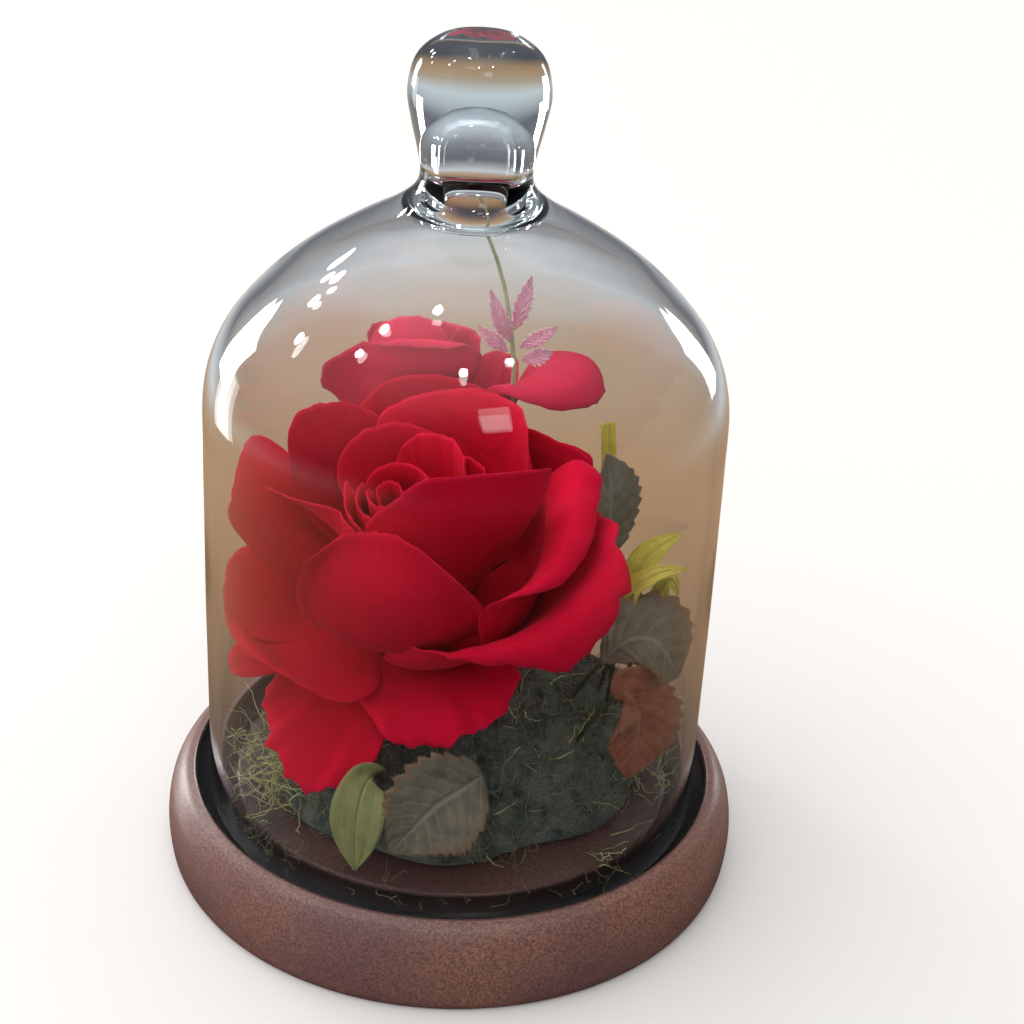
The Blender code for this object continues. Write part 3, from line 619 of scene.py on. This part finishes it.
REAR_PETALS = [
    one_petal(90, 150, [(2.4, 6.4), (3.2, 20), (3, 32), (2.2, 41)], drop=0.02, claw=1),
    one_petal(250, 110, [(4, 6), (5.2, 20), (5.4, 32), (4.4, 43)], drop=0.06, claw=0.9),
    one_petal(40, 105, [(5.4, 5.4), (6.8, 18), (7.2, 32), (6.8, 42)], drop=0.06, claw=0.9),
    one_petal(280, 50, [(7, 5), (8.6, 16), (9.2, 30), (8.4, 41)], drop=0.16, claw=0.8),
    one_petal(62, 60, [(7.2, 4.8), (9.8, 14), (11.6, 28), (13, 40)], drop=0.14, claw=0.7),
    one_petal(140, 42, [(8.4, 4.4), (11.6, 14), (14, 28), (15.4, 40)], drop=0.14, claw=0.7),
    one_petal(245, 54, [(8.6, 4.4), (11.7, 14), (12.8, 27.9), (14, 39.8), (10, 46.8)], drop=0.18,
        low=0.07, high=0.11, twist=1.64),
    one_petal(236, 63,
        [(10, 3.9), (13.1, 11.9), (14.6, 25.8), (18.2, 36.1), (19.6, 41.6), (21.4, 39.8)],
        drop=0.36, tip=0.7, low=1.25, high=0.7, rise=1.2, twist=4.5, claw=0.8, corner=0.12,
        pinch=0.08),
    one_petal(188, 26, [(11.4, 3.4), (17, 7.5), (22.5, 14), (25.5, 18), (26.5, 21.5)], drop=0.2),
    one_petal(341, 37,
        [(11.4, 3.4), (16, 11), (21, 23), (27.2, 32.5), (37.5, 33.1), (43.3, 28.6)], drop=0.2,
        tip=0.12, low=-0.1, lean=0.1, claw=0.9, lip=1.4),
    one_petal(184, 22, [(12.6, 2.6), (19, 4.5), (25, 8), (28.5, 12), (30, 15)], drop=0.2),
    one_petal(38, 28, [(12.6, 3), (17, 8), (21, 18), (23.5, 27), (24.5, 31)], drop=0.25),
    one_petal(92, 34, [(14, 2.4), (16.4, 9), (18, 21), (18.8, 32)], drop=0.2),
]

# %% Build the petals
PETAL_THICK = 0.65
PETAL_ROWS, PETAL_COLUMNS = 34, 40
EDGE_FAR = 12  # the distance to the rim counts no farther than this


def add_petals(prefix, rose, petals, finish):
    """Every petal of one rose as its own piece."""
    for number, petal in enumerate(petals, 1):
        wide = PETAL_COLUMNS * 2 if petal["half"] > 80 else PETAL_COLUMNS
        grid = petal_grid(rose, petal, PETAL_ROWS, wide, seed=100 * len(petals) + number)
        u = np.linspace(0, 1, PETAL_ROWS + 1)[:, None] * np.ones((1, wide + 1))
        t = np.linspace(-1, 1, wide + 1)[None, :] * np.ones((PETAL_ROWS + 1, 1))
        down = np.linalg.norm(np.diff(grid, axis=0), axis=-1).sum(0)[None, :]
        over = np.linalg.norm(np.diff(grid, axis=1), axis=-1).sum(1)[:, None]
        edge = np.minimum((1 - u) * down, (1 - np.abs(t)) / 2 * over)
        points, faces = sheet(grid, PETAL_THICK)
        fields = {"along": u, "across": t, "edge": np.minimum(edge, EDGE_FAR)}
        drawn = {key: np.tile(values.ravel(), 2) for key, values in fields.items()}
        name = f"{prefix}_{number:02d}"
        add_piece(f"velvet_{name}", points, faces, finish, [name], drawn)
    print(prefix, len(petals), "petals")


add_petals("front_petal", FRONT_ROSE, FRONT_PETALS, front_velvet)
add_petals("rear_petal", REAR_ROSE, REAR_PETALS, rear_velvet)

# %% [markdown]
# ## Cores and stems
# Under the petals sits a cone that they grow from, then the calyx and a green stem. One tube with
# changing radius gives all of it. The cone's top is as red as the petals, because it shows deep
# down between them.

# %% Tubes
def tube(points, radii, sides):
    """Points and faces of a closed round bar along points, with a radius at each."""
    points, radii = np.array(points, float), np.array(radii, float)
    ahead = unit(np.gradient(points, axis=0))
    guide = np.array([1.0, 0.0, 0.0])
    angle = np.linspace(0, 2 * np.pi, sides, endpoint=False)
    rings = []
    for here, way, r in zip(points, ahead, radii):
        guide = unit(guide - way * guide.dot(way))
        other = np.cross(way, guide)
        rings.append(here + r * (np.outer(np.cos(angle), guide) + np.outer(np.sin(angle), other)))
    return np.vstack(rings), ring_faces(len(rings), sides)


# %% Green stems with a red cone
CORE_SIDES = 40


def stem_finish(name, dull, fresh, red=None):
    """A matt mottled stem, with a red where the mesh says so."""
    finish = Finish(name, roughness=0.6)
    mottle = finish.speckle(3, detail=3)
    body = finish.mix(finish.ramp(mottle, 0.3, 0.7), dull, fresh)
    finish.colour(finish.mix(finish.drawn("red"), body, red) if red else body)
    finish.bump(mottle, 0.2, 0.4)
    return finish


stem_skin = stem_finish("green_stem", (0.20, 0.30, 0.09), (0.33, 0.42, 0.16), (0.16, 0.002, 0.006))


def add_core(name, rose, root, stem_r):
    """Stem, calyx and petal cone in one piece."""
    upper = [rose.heart + rose.axis * height for height in (-16, -9, -3)]
    stem = smooth_line([np.array(root, float), *upper], 24)
    cone = [(10.2, -1.6), (13.8, -1.2), (15.9, -0.5), (16.5, 0.3), (12.0, 2.0), (7.0, 3.9)]
    cone += [(0.4, 6.2)]
    line = [*stem, *(rose.heart + rose.axis * height for r, height in cone)]
    radii = [stem_r] * len(stem) + [r for r, height in cone]
    points, faces = tube(line, radii, CORE_SIDES)
    red = np.repeat([0.0] * (len(stem) + 2) + [1.0] * (len(cone) - 2), CORE_SIDES)
    add_piece(f"{name}_stem", points, faces, stem_skin, [name], {"red": red})


add_core("front_rose_core", FRONT_ROSE, (-2, 6, 36), 2.4)
add_core("rear_rose_core", REAR_ROSE, (-7, 27, 36), 2.2)
print("cores built")

# %% [markdown]
# ## Leaves
# A rose leaflet has a fine saw edge whose teeth point to its tip, a sunk midrib and side veins
# that curve forward. The outline comes from a width along the midrib. The mesh carries two
# numbers, `along` and `across`, and the finish draws the veins and the dry rim from them, so they
# stay sharp.

# %% Leaf finish
def leaf_finish(name, dull, fresh, vein, back, veins=9, rim=None):
    """A matt leaf with veins, another colour below, a dry rim and a dark stalk."""
    finish = Finish(name, roughness=0.62, specular_ior_level=0.3)
    along, across = finish.drawn("along"), finish.drawn("across")
    far = across.size()
    mottle = finish.speckle(4, detail=4, rough=0.6)
    phase = (along * veins - far * 1.6 + mottle * 0.25).rest()
    near_vein = (phase - 0.5).size()
    side_vein = finish.ramp(near_vein, 0.10, 0.02) * finish.ramp(far, 1.0, 0.3, 0.2, 1.0)
    midrib = finish.ramp(far, 0.09, 0.02)
    lines = midrib.most(side_vein * 0.7)
    body = finish.mix(finish.ramp(mottle, 0.3, 0.7), dull, fresh)
    # another colour on the underside; on the lime blades it is a darker painted shade
    body = finish.mix(finish.drawn("below") * 0.8, body, back)
    body = finish.mix(lines * 0.75, body, vein)
    if rim:
        dry = finish.ramp(far + mottle * 0.12, 0.86, 1.02, 0.0, 0.7)
        body = finish.mix(dry, body, rim)
    finish.colour(finish.mix(finish.ramp(along, 0.0, 0.02, 1.0, 0.0), body, (0.09, 0.11, 0.06)))
    finish.bump(near_vein * 1.2 + mottle * 0.6 - midrib, 0.5, 0.7)
    return finish


green_leaf = leaf_finish(
    "green_leaf", dull=(0.155, 0.136, 0.098), fresh=(0.285, 0.240, 0.180), vein=(0.34, 0.33, 0.25),
    back=(0.24, 0.24, 0.18), rim=(0.30, 0.17, 0.09),
)
wine_leaf = leaf_finish(
    "wine_leaf", dull=(0.330, 0.080, 0.050), fresh=(0.520, 0.190, 0.110), vein=(0.45, 0.24, 0.16),
    back=(0.40, 0.17, 0.11), rim=(0.42, 0.18, 0.09),
)
# the lime blades' darker green underside (back) is a painted shade
lime_leaf = leaf_finish(
    "lime_leaf", dull=(0.70, 0.58, 0.06), fresh=(0.95, 0.82, 0.15), vein=(0.95, 0.88, 0.38),
    back=(0.45, 0.50, 0.10), veins=0.5,
)
tongue_green = leaf_finish(
    "tongue_green", dull=(0.25, 0.26, 0.10), fresh=(0.38, 0.37, 0.15), vein=(0.38, 0.42, 0.21),
    back=(0.30, 0.36, 0.14), veins=0.5,
)
pink_leaf = leaf_finish(
    "pink_leaf", dull=(0.97, 0.27, 0.46), fresh=(0.98, 0.48, 0.62), vein=(0.96, 0.88, 0.82),
    back=(0.80, 0.36, 0.46), veins=6, rim=(0.95, 0.80, 0.78),
)
print("leaf nodes:", len(green_leaf.tree.nodes))

# %% Leaf shape
def leaf_grid(leaf, rows, columns, seed):
    """Points over a leaf, from the foot of its stalk to its tip, and their place along it."""
    spine = smooth_line(leaf["spine"], rows)
    face = unit(np.array(leaf["face"], float))
    ahead = unit(np.gradient(spine, axis=0))
    side = unit(np.cross(ahead, face))
    up = np.cross(side, ahead)
    stalk, fold = leaf.get("stalk", 0), leaf.get("fold", 0.25)
    bite, full = leaf.get("bite", 0.16), leaf.get("full", 0.42)
    teeth = leaf.get("teeth", 0) * leaf.get("finer", 2)
    u = np.linspace(0, 1, rows + 1)
    v = np.maximum(u - stalk, 0) / (1 - stalk)
    bulge = np.sin(np.pi * v ** (math.log(0.5) / math.log(full))) ** 0.8
    saw = (v * teeth) % 1 if teeth else 1
    plain = np.maximum(leaf["wide"] / 2 * bulge, leaf.get("thin", 0.6))
    t = np.linspace(-1, 1, columns + 1)[None, :]
    bitten = 1 - bite * (1 - saw) * (plain > 2 * leaf.get("thin", 0.6))
    half = (plain * bitten)[:, None]
    pull = (plain * 0.35)[:, None] * np.abs(t) ** 2  # teeth lie ahead of the point where they start
    grid = spine[:, None, :] + side[:, None, :] * (half * t)[..., None]
    grid = grid + up[:, None, :] * (fold * half * np.abs(t) ** 1.3)[..., None]
    grid = grid + ahead[:, None, :] * (pull * (v > 0)[:, None] * (1 - v[:, None]))[..., None]
    wave = ripple(t, v[:, None], 2.5, seed) * 0.05 * half * np.abs(t)
    grid = grid + up[:, None, :] * wave[..., None]
    return grid, v[:, None] + 0 * t, t + 0 * v[:, None]


def add_leaf(piece, node, leaf, finish, rows=90, columns=18, thick=0.4, seed=1):
    """One leaf as its own piece."""
    grid, along, across = leaf_grid(leaf, rows, columns, seed)
    points, faces = sheet(grid, thick)
    drawn = {
        "along": np.tile(along.ravel(), 2),
        "across": np.tile(across.ravel(), 2),
        "below": np.repeat([0.0, 1.0], along.size),
    }
    add_piece(piece, points, faces, finish, [node], drawn)


# %% The leaves and blades
LEAVES = {
    # serrated rose leaves
    "rose_leaf_right_upper": dict(
        spine=[(24, 3, 41), (30, 5, 60), (34, 6, 76), (35.4, 7, 90), (33.5, 9, 102)],
        face=(0.75, -0.65, 0.1), wide=21, stalk=0.45, teeth=6, full=0.6,
    ),
    "rose_leaf_right_lower": dict(
        spine=[(25, -10, 40), (33, -12, 55.5), (40, -12, 63.5), (47, -12, 63.5), (53, -12, 54.5)],
        face=(0.1, -0.5, 1), wide=26, stalk=0.42, teeth=6, full=0.55,
    ),
    "rose_leaf_wine": dict(
        spine=[(28, -17, 36), (34, -20, 49), (39.5, -21, 55), (43, -21, 47), (41.5, -22.5, 32)],
        face=(0.45, -0.85, 0.35), wide=22, stalk=0.42, teeth=6, full=0.36,
    ),
    "rose_leaf_front": dict(
        spine=[(9, -24, 36), (8.5, -33, 41), (5, -40, 42), (-4, -45.5, 38), (-13, -47.5, 27)],
        face=(0.1, -1, 0.35), wide=26, stalk=0.34, teeth=6, full=0.36,
    ),
    "rose_leaf_rear_left": dict(
        spine=[(-16, 22, 42), (-24, 31, 58), (-32, 37, 66), (-42, 34, 65)],
        face=(-0.2, 0.4, 1), wide=19, stalk=0.4, teeth=5,
    ),
    "rose_leaf_rear_right": dict(
        spine=[(17, 26, 38), (23, 34, 54), (29, 37, 64), (37, 32, 68)],
        face=(0.2, 0.5, 1), wide=18, stalk=0.4, teeth=5,
    ),
    "tongue_leaf": dict(
        spine=[(-15, -33, 40), (-18.5, -41, 42), (-20.4, -46, 36), (-20.8, -48.5, 22.5)],
        face=(-0.2, -1, 0.1), wide=12.5, stalk=0.04, fold=0.12, full=0.5, thin=0.6,
    ),
    # lime blades
    "lime_blade_tall": dict(
        spine=[(30, 20, 36), (35, 23, 75), (35.5, 22, 92), (34.5, 23, 104)],
        face=(0.2, -1, 0.1), wide=5.2, fold=0.1, full=0.6, thin=1.9,
    ),
    "lime_blade_upper": dict(
        spine=[(35, 2, 36), (41.5, 2, 69), (45.5, 3, 79), (53, 5, 84)],
        face=(-0.3, -0.5, 1), wide=8, full=0.45, thin=0.4, stalk=0.55,
    ),
    "lime_blade_lower": dict(
        spine=[(37, -3, 34), (40, -3, 68), (45.5, -4, 77), (54, -4, 79.5)],
        face=(-0.3, -0.5, 1), wide=6, full=0.45, thin=0.4, stalk=0.5,
    ),
    "lime_blade_curl": dict(
        spine=[(39, 4, 31), (47, 2, 62), (50.3, 0.5, 73.5), (52.6, -2, 71)],
        face=(-0.4, -0.6, 1), wide=6, full=0.6, thin=0.6, stalk=0.4,
    ),
}

LEAF_KINDS = {"rose_leaf": (green_leaf, "green_leaf"), "tongue": (tongue_green, "tongue_leaf"),
              "lime": (lime_leaf, "lime_blade")}
for number, (node, leaf) in enumerate(LEAVES.items()):
    finish, slot = next(kind for start, kind in LEAF_KINDS.items() if node.startswith(start))
    if node.endswith("wine"):
        finish, slot = wine_leaf, "wine_leaf"
    add_leaf(f"dried_{node}", node, leaf, finish, seed=number)
print("leaves:", len(LEAVES))

# %% [markdown]
# ## Pink spray
# One thin pale green stem climbs behind the roses into the neck of the dome, and five pink
# leaflets with pale veins and rims leave it near the top.

# %% The spray
SPRAY_ROUTE = [
    (6, 16, 40), (8.6, 16.8, 78), (10, 16.6, 98), (10.6, 15.4, 112), (10.3, 13.5, 124),
    (7.5, 11.5, 141), (3, 7.5, 155), (0.8, 3, 163),
]
SPRAY_STEM_R = 0.7
LEAFLETS = [
    # where it leaves the stem, its tip, and how far it stands in front of the stem
    dict(height=124.5, tip=(1.6, 12, 132), front=1.0),
    dict(height=126.5, tip=(4.2, 9, 141.5), front=2.2),
    dict(height=129.5, tip=(13.4, 11, 144.5), front=1.2),
    dict(height=125.5, tip=(20, 11.5, 132.5), front=1.0),
    dict(height=122.5, tip=(19.4, 12.5, 125.5), front=1.2),
]

spray_route = smooth_line(SPRAY_ROUTE, 90)
spray_radii = SPRAY_STEM_R * np.linspace(1.2, 0.6, 91)
spray_skin = stem_finish("spray_stem", (0.44, 0.50, 0.26), (0.62, 0.66, 0.40))
points, faces = tube(spray_route, spray_radii, 12)
add_piece("spray_green_stem", points, faces, spray_skin, ["spray_stem"])
for number, leaflet in enumerate(LEAFLETS, 1):
    foot = spray_route[np.argmin(np.abs(spray_route[:, 2] - leaflet["height"]))]
    tip = np.array(leaflet["tip"], float)
    front = np.array([0, -leaflet["front"], 0])
    start = foot + unit(tip - foot) * (SPRAY_STEM_R + 1.4) + front
    middle = (start + tip) / 2 + front * 0.5
    shape = dict(spine=[start, middle, tip], face=(0, -1, 0.35), wide=4.6, teeth=6, bite=0.3,
                 fold=0.15, full=0.45, thin=0.3, finer=1)
    add_leaf(f"pink_leaflet_{number}", f"spray_leaflet_{number}", shape, pink_leaf,
             rows=60, columns=12, thick=0.35, seed=number)
print("leaflets:", len(LEAFLETS))

# %% [markdown]
# ## Moss
# The heap of moss is a lumpy mound with thousands of short curled fibres on it. Every fibre is a
# thin three-sided tube. They are joined into a few pieces by colour, which keeps the scene light.
# Pale tufts hang over its left and right sides, and loose bits lie on the platform and its groove.

# %% Mound
MOUND_R = 46.5
MOUND_EDGE = 2.0
HEAP_HIGH = 30.1


def mound_reach(angle):
    """Outer radius of the heap at an angle round the Z axis."""
    front = max(-math.sin(angle + 0.1), 0) ** 2
    waves = 1 + 0.04 * math.sin(3 * angle + 1.1) + 0.03 * math.sin(7 * angle)
    return MOUND_R * (waves - 0.09 * front)


def mound_surface(share, angle):
    """Height of the heap's surface, by share of its radius and by angle."""
    lump = noise.noise(Vector((share * 2.2 * math.cos(angle), share * 2.2 * math.sin(angle), 4.2)))
    heap = HEAP_HIGH * max(1 - share**2.6, 0) * (1 + 0.18 * lump)
    return MOSS_LOW.z + MOUND_EDGE + heap


def on_mound(share, angle):
    """A point on the rough surface of the heap."""
    reach = mound_reach(angle) * share
    x, y = reach * math.cos(angle), reach * math.sin(angle)
    z = mound_surface(share, angle)
    lumps = noise.fractal(Vector((x, y, z)) * 0.16, 0.8, 2.2, 4)
    return np.array([x, y, max(z + lumps * 2.2 - 0.6, MOSS_LOW.z + 0.1)])


def moss_finish(name, dark, bright):
    """A dull, patchy moss."""
    finish = Finish(name, roughness=0.95, specular_ior_level=0.1, sheen_weight=0.2)
    patch = finish.speckle(7, detail=4, rough=0.65)
    grain = finish.speckle(0.7, detail=3)
    finish.colour(finish.mix(finish.ramp(patch * 0.6 + grain * 0.4, 0.38, 0.62), dark, bright))
    finish.bump(grain, 0.6, 0.8)
    return finish


moss_dark = moss_finish("moss_dark", (0.060, 0.082, 0.078), (0.215, 0.220, 0.175))
moss_olive = moss_finish("moss_olive", (0.140, 0.155, 0.105), (0.350, 0.340, 0.220))
moss_pale = moss_finish("moss_pale", (0.52, 0.54, 0.22), (0.80, 0.80, 0.42))
mound_sides, mound_rows = 180, 60
shares = np.linspace(1, 0.004, mound_rows)
angles = np.linspace(0, 2 * np.pi, mound_sides, endpoint=False)
mound = [[on_mound(s, a) for a in angles] for s in shares]
foot_ring = [np.array([p[0] * 0.98, p[1] * 0.98, MOSS_LOW.z]) for p in mound[0]]
grid = np.array([foot_ring, *mound])
faces = ring_faces(len(grid), mound_sides)
add_piece("moss_heap", grid.reshape(-1, 3), faces, moss_dark, ["moss_mound"])
print("mound points:", grid.shape[0] * grid.shape[1])


# %% Fibres
FIBRE_REACH = 56.3  # just inside the glass
fibre_rng = random.Random(7)


def scatter():
    """Three random numbers round zero, as a way to go."""
    return np.array([fibre_rng.gauss(0, 1) for k in range(3)])


def curl(start, way, length, bend, steps=7):
    """A wandering line from a start, turning a little at random at each step."""
    here, way = np.array(start, float), unit(np.array(way, float))
    line = [here]
    drift = scatter() * bend
    for step in range(steps):
        way = unit(way + drift * 0.5 + scatter() * bend * 0.5)
        here = here + way * length / steps
        reach = math.hypot(here[0], here[1])
        if reach > FIBRE_REACH:
            here = here * np.array([FIBRE_REACH / reach, FIBRE_REACH / reach, 1])
        on_platform = math.hypot(here[0], here[1]) < PLATFORM_R + 0.4
        here[2] = max(here[2], PLATFORM_Z + 0.25 if on_platform else GROOVE_Z + 0.3)
        line.append(here)
    return line


def add_fibres(name, finish, lines, radius):
    """Many thin strands as one piece."""
    points, faces, count = [], [], 0
    for line in lines:
        size = radius * fibre_rng.uniform(0.6, 1.2)
        radii = [size * (1 - 0.7 * k / (len(line) - 1)) for k in range(len(line))]
        p, f = tube(line, radii, 3)
        points.append(p)
        faces += [[k + count for k in one] for one in f]
        count += len(p)
    add_piece(name, np.vstack(points), faces, finish, [])
    print(name, len(lines), "strands,", count, "points")


def mound_fibres(count, low, high, length, bend, lift):
    """Strands that start on the heap, between two shares of its area."""
    lines = []
    for number in range(count):
        angle = fibre_rng.uniform(0, math.tau)
        share = math.sqrt(fibre_rng.uniform(low, high))
        start = on_mound(share, angle) - np.array([0, 0, 0.8])
        out = np.array([math.cos(angle), math.sin(angle), 0]) * fibre_rng.uniform(-0.4, 1)
        turn = np.array([fibre_rng.gauss(0, 1), fibre_rng.gauss(0, 1), 0])
        way = out + turn + np.array([0, 0, lift])
        lines.append(curl(start, way, length * fibre_rng.uniform(0.5, 1.3), bend))
    return lines


add_fibres("moss_fibres_dark", moss_dark, mound_fibres(1800, 0.02, 1.0, 7, 0.5, 0.9), 0.28)
add_fibres("moss_fibres_olive", moss_olive, mound_fibres(1500, 0.05, 1.0, 9, 0.55, 0.8), 0.22)


def tuft(count, turns, reach, rise, length, bend):
    """Loose strands that start between two angles, two radii and two heights."""
    lines = []
    for number in range(count):
        angle = math.radians(fibre_rng.uniform(*turns))
        far = fibre_rng.uniform(*reach)
        up = PLATFORM_Z + fibre_rng.uniform(*rise)
        way = [fibre_rng.gauss(0, 1), fibre_rng.gauss(0, 1), fibre_rng.gauss(0.3, 0.8)]
        start = [far * math.cos(angle), far * math.sin(angle), up]
        lines.append(curl(start, way, length * fibre_rng.uniform(0.5, 1.4), bend, steps=10))
    return lines


pale = mound_fibres(110, 0.2, 1.0, 9, 0.7, 0.5)
pale += tuft(95, (182, 222), (42, 53), (0.5, 11), 13, 0.75)
pale += tuft(60, (338, 372), (44, 54), (0.5, 14), 11, 0.75)
pale += tuft(6, (305, 322), (48, 55), (0.5, 2), 12, 0.8)
add_fibres("moss_fibres_pale", moss_pale, pale, 0.26)
loose = tuft(70, (150, 400), (52, 58.5), (-2.5, 1.5), 6, 0.9)
loose += tuft(26, (208, 232), (53, 58.5), (-2.5, 1), 9, 0.9)
add_fibres("moss_fibres_loose", moss_olive, loose, 0.16)

# %% [markdown]
# ## Floor and light
# The floor is a plain pale surface. The glass neither mirrors it nor lets it show through, so the
# sky alone gives the glass its tint. The sky's soft light, mostly from above and the left, lights
# the flowers through the glass, and only paths that have met a matt surface see it. What shows in
# the glass is another sky, warm low down and grey above, which is dim towards the viewer for
# mirrored paths, so no veil lies over the petals. Pale panels at the rear are mirrored in the
# shoulders of the dome, and small lamps give its points of light.

# %% Floor
STAGE_HALF = 2.0
floor_mesh = bpy.data.meshes.new("pale_floor")
corners = [(x * STAGE_HALF, y * STAGE_HALF, 0) for x, y in ((-1, -1), (1, -1), (1, 1), (-1, 1))]
floor_mesh.from_pydata(corners, [], [(0, 1, 2, 3)])
floor = bpy.data.objects.new("pale_floor", floor_mesh)
bpy.context.scene.collection.objects.link(floor)
paper = Finish("pale_paper", base_color=(0.66, 0.66, 0.66), roughness=0.7, specular_ior_level=0.2)
floor_mesh.materials.append(paper.material)
floor.visible_glossy = False
floor.visible_transmission = False
print("floor", 2 * STAGE_HALF, "m wide")

# %% Lights
LIGHT_TARGET = Vector((0, 0, 0.10))
PANEL_FAR, LAMP_GLOW, LAMP_WIDE = 1.5, 40.0, 0.09


def add_light(name, place, glow, width, height=None, seen_by_diffuse=True):
    """An area light that faces the flowers, with a given brightness."""
    data = bpy.data.lights.new(name, "AREA")
    data.shape = "RECTANGLE" if height else "DISK"
    data.size = width
    area = math.pi * width**2 / 4
    if height:
        data.size_y = height
        area = width * height
    data.energy = glow * math.pi * area
    light = bpy.data.objects.new(name, data)
    light.location = Vector(place)
    light.rotation_euler = (LIGHT_TARGET - light.location).to_track_quat("-Z", "Y").to_euler()
    light.visible_diffuse = seen_by_diffuse
    bpy.context.scene.collection.objects.link(light)


def at(azimuth, elevation, distance):
    """A place round the dome by compass angle, height angle and distance."""
    a, e = math.radians(azimuth), math.radians(elevation)
    return Vector((math.cos(a) * math.cos(e), math.sin(a) * math.cos(e), math.sin(e))) * distance


key_at = Vector((0, 0, 0.14)) + Vector((0.19, -0.66, 0.73)) * PANEL_FAR
add_light("key_panel", key_at, 3.0, 0.30, 0.36)
add_light("window_left", at(139, 8, 2.2), 14.0, 0.5, 0.9)
add_light("left_veil", at(146, -6, 2.3), 2.6, 0.6, 0.9, False)
add_light("window_right", at(48, 6, 2.2), 6.0, 0.35, 0.8)

LAMPS = [
    (-0.19, 0.01, 0.98), (-0.55, 0.67, 0.50), (-0.59, 0.55, 0.59), (-0.68, 0.48, 0.55),
    (-0.80, 0.28, 0.53), (-0.48, -0.01, 0.88), (-0.62, -0.11, 0.78), (-0.03, -0.42, 0.91),
    (0.25, -0.30, 0.92),
]
for number, way in enumerate(LAMPS, 1):
    lamp_at = Vector((0, 0, 0.15)) + Vector(way) * PANEL_FAR
    add_light(f"lamp_{number}", lamp_at, LAMP_GLOW, LAMP_WIDE, None, False)
print("lights:", len(bpy.data.lights))

# %% World
world = bpy.data.worlds.new("studio")
bpy.context.scene.world = world
world.use_nodes = True
tree = world.node_tree
new, link = tree.nodes.new, tree.links.new
sky = tree.nodes["Background"]
where = new("ShaderNodeTexCoord")
height = new("ShaderNodeSeparateXYZ")
ramp = new("ShaderNodeValToRGB")
SKY = [
    # upward part of a direction, and the light that comes from there
    (-1.00, (0.03, 0.03, 0.04)), (-0.60, (0.06, 0.06, 0.07)), (-0.50, (0.38, 0.23, 0.13)),
    (-0.43, (0.47, 0.29, 0.17)), (-0.34, (0.50, 0.37, 0.27)), (-0.24, (0.66, 0.67, 0.68)),
    (-0.04, (0.16, 0.16, 0.18)), (0.30, (0.30, 0.31, 0.33)), (0.75, (0.60, 0.62, 0.66)),
    (1.00, (1.70, 1.75, 1.80)),
]
while len(ramp.color_ramp.elements) < len(SKY):
    ramp.color_ramp.elements.new(0.5)
for element, (up, glow) in zip(ramp.color_ramp.elements, SKY):
    element.position = (up + 1) / 2
    element.color = (*glow, 1.0)
share = new("ShaderNodeMapRange")
share.inputs["From Min"].default_value = -1.0


def stronger_towards(way, low, high, dim, full):
    """A strength that grows for the directions that point more along one way."""
    side = new("ShaderNodeVectorMath")
    side.operation = "DOT_PRODUCT"
    side.inputs[1].default_value = way
    lean = new("ShaderNodeMapRange")
    for socket, value in (("From Min", low), ("From Max", high), ("To Min", dim), ("To Max", full)):
        lean.inputs[socket].default_value = value
    link(where.outputs["Generated"], side.inputs[0])
    link(side.outputs["Value"], lean.inputs["Value"])
    return lean.outputs[0]


soft = new("ShaderNodeBackground")
soft.inputs["Color"].default_value = (1.0, 0.97, 0.94, 1.0)
kind = new("ShaderNodeLightPath")
either = new("ShaderNodeMixShader")
link(where.outputs["Generated"], height.inputs[0])
link(height.outputs["Z"], share.inputs["Value"])
link(share.outputs[0], ramp.inputs[0])
link(ramp.outputs[0], sky.inputs["Color"])
mirrored = new("ShaderNodeMix")
mirrored.inputs["A"].default_value = 1.0
link(kind.outputs["Glossy Depth"], mirrored.inputs["Factor"])
link(stronger_towards((-0.45, 0.90, 0.0), -0.8, 0.7, 0.05, 1.0), mirrored.inputs["B"])
link(mirrored.outputs["Result"], sky.inputs["Strength"])
link(stronger_towards((-0.48, 0.10, 0.87), 0.1, 1.0, 0.32, 2.55), soft.inputs["Strength"])
link(kind.outputs["Diffuse Depth"], either.inputs[0])
link(sky.outputs[0], either.inputs[1])
link(soft.outputs[0], either.inputs[2])
link(either.outputs[0], tree.nodes["World Output"].inputs["Surface"])
bpy.context.scene.view_settings.view_transform = "Standard"
print("sky stops:", len(SKY))
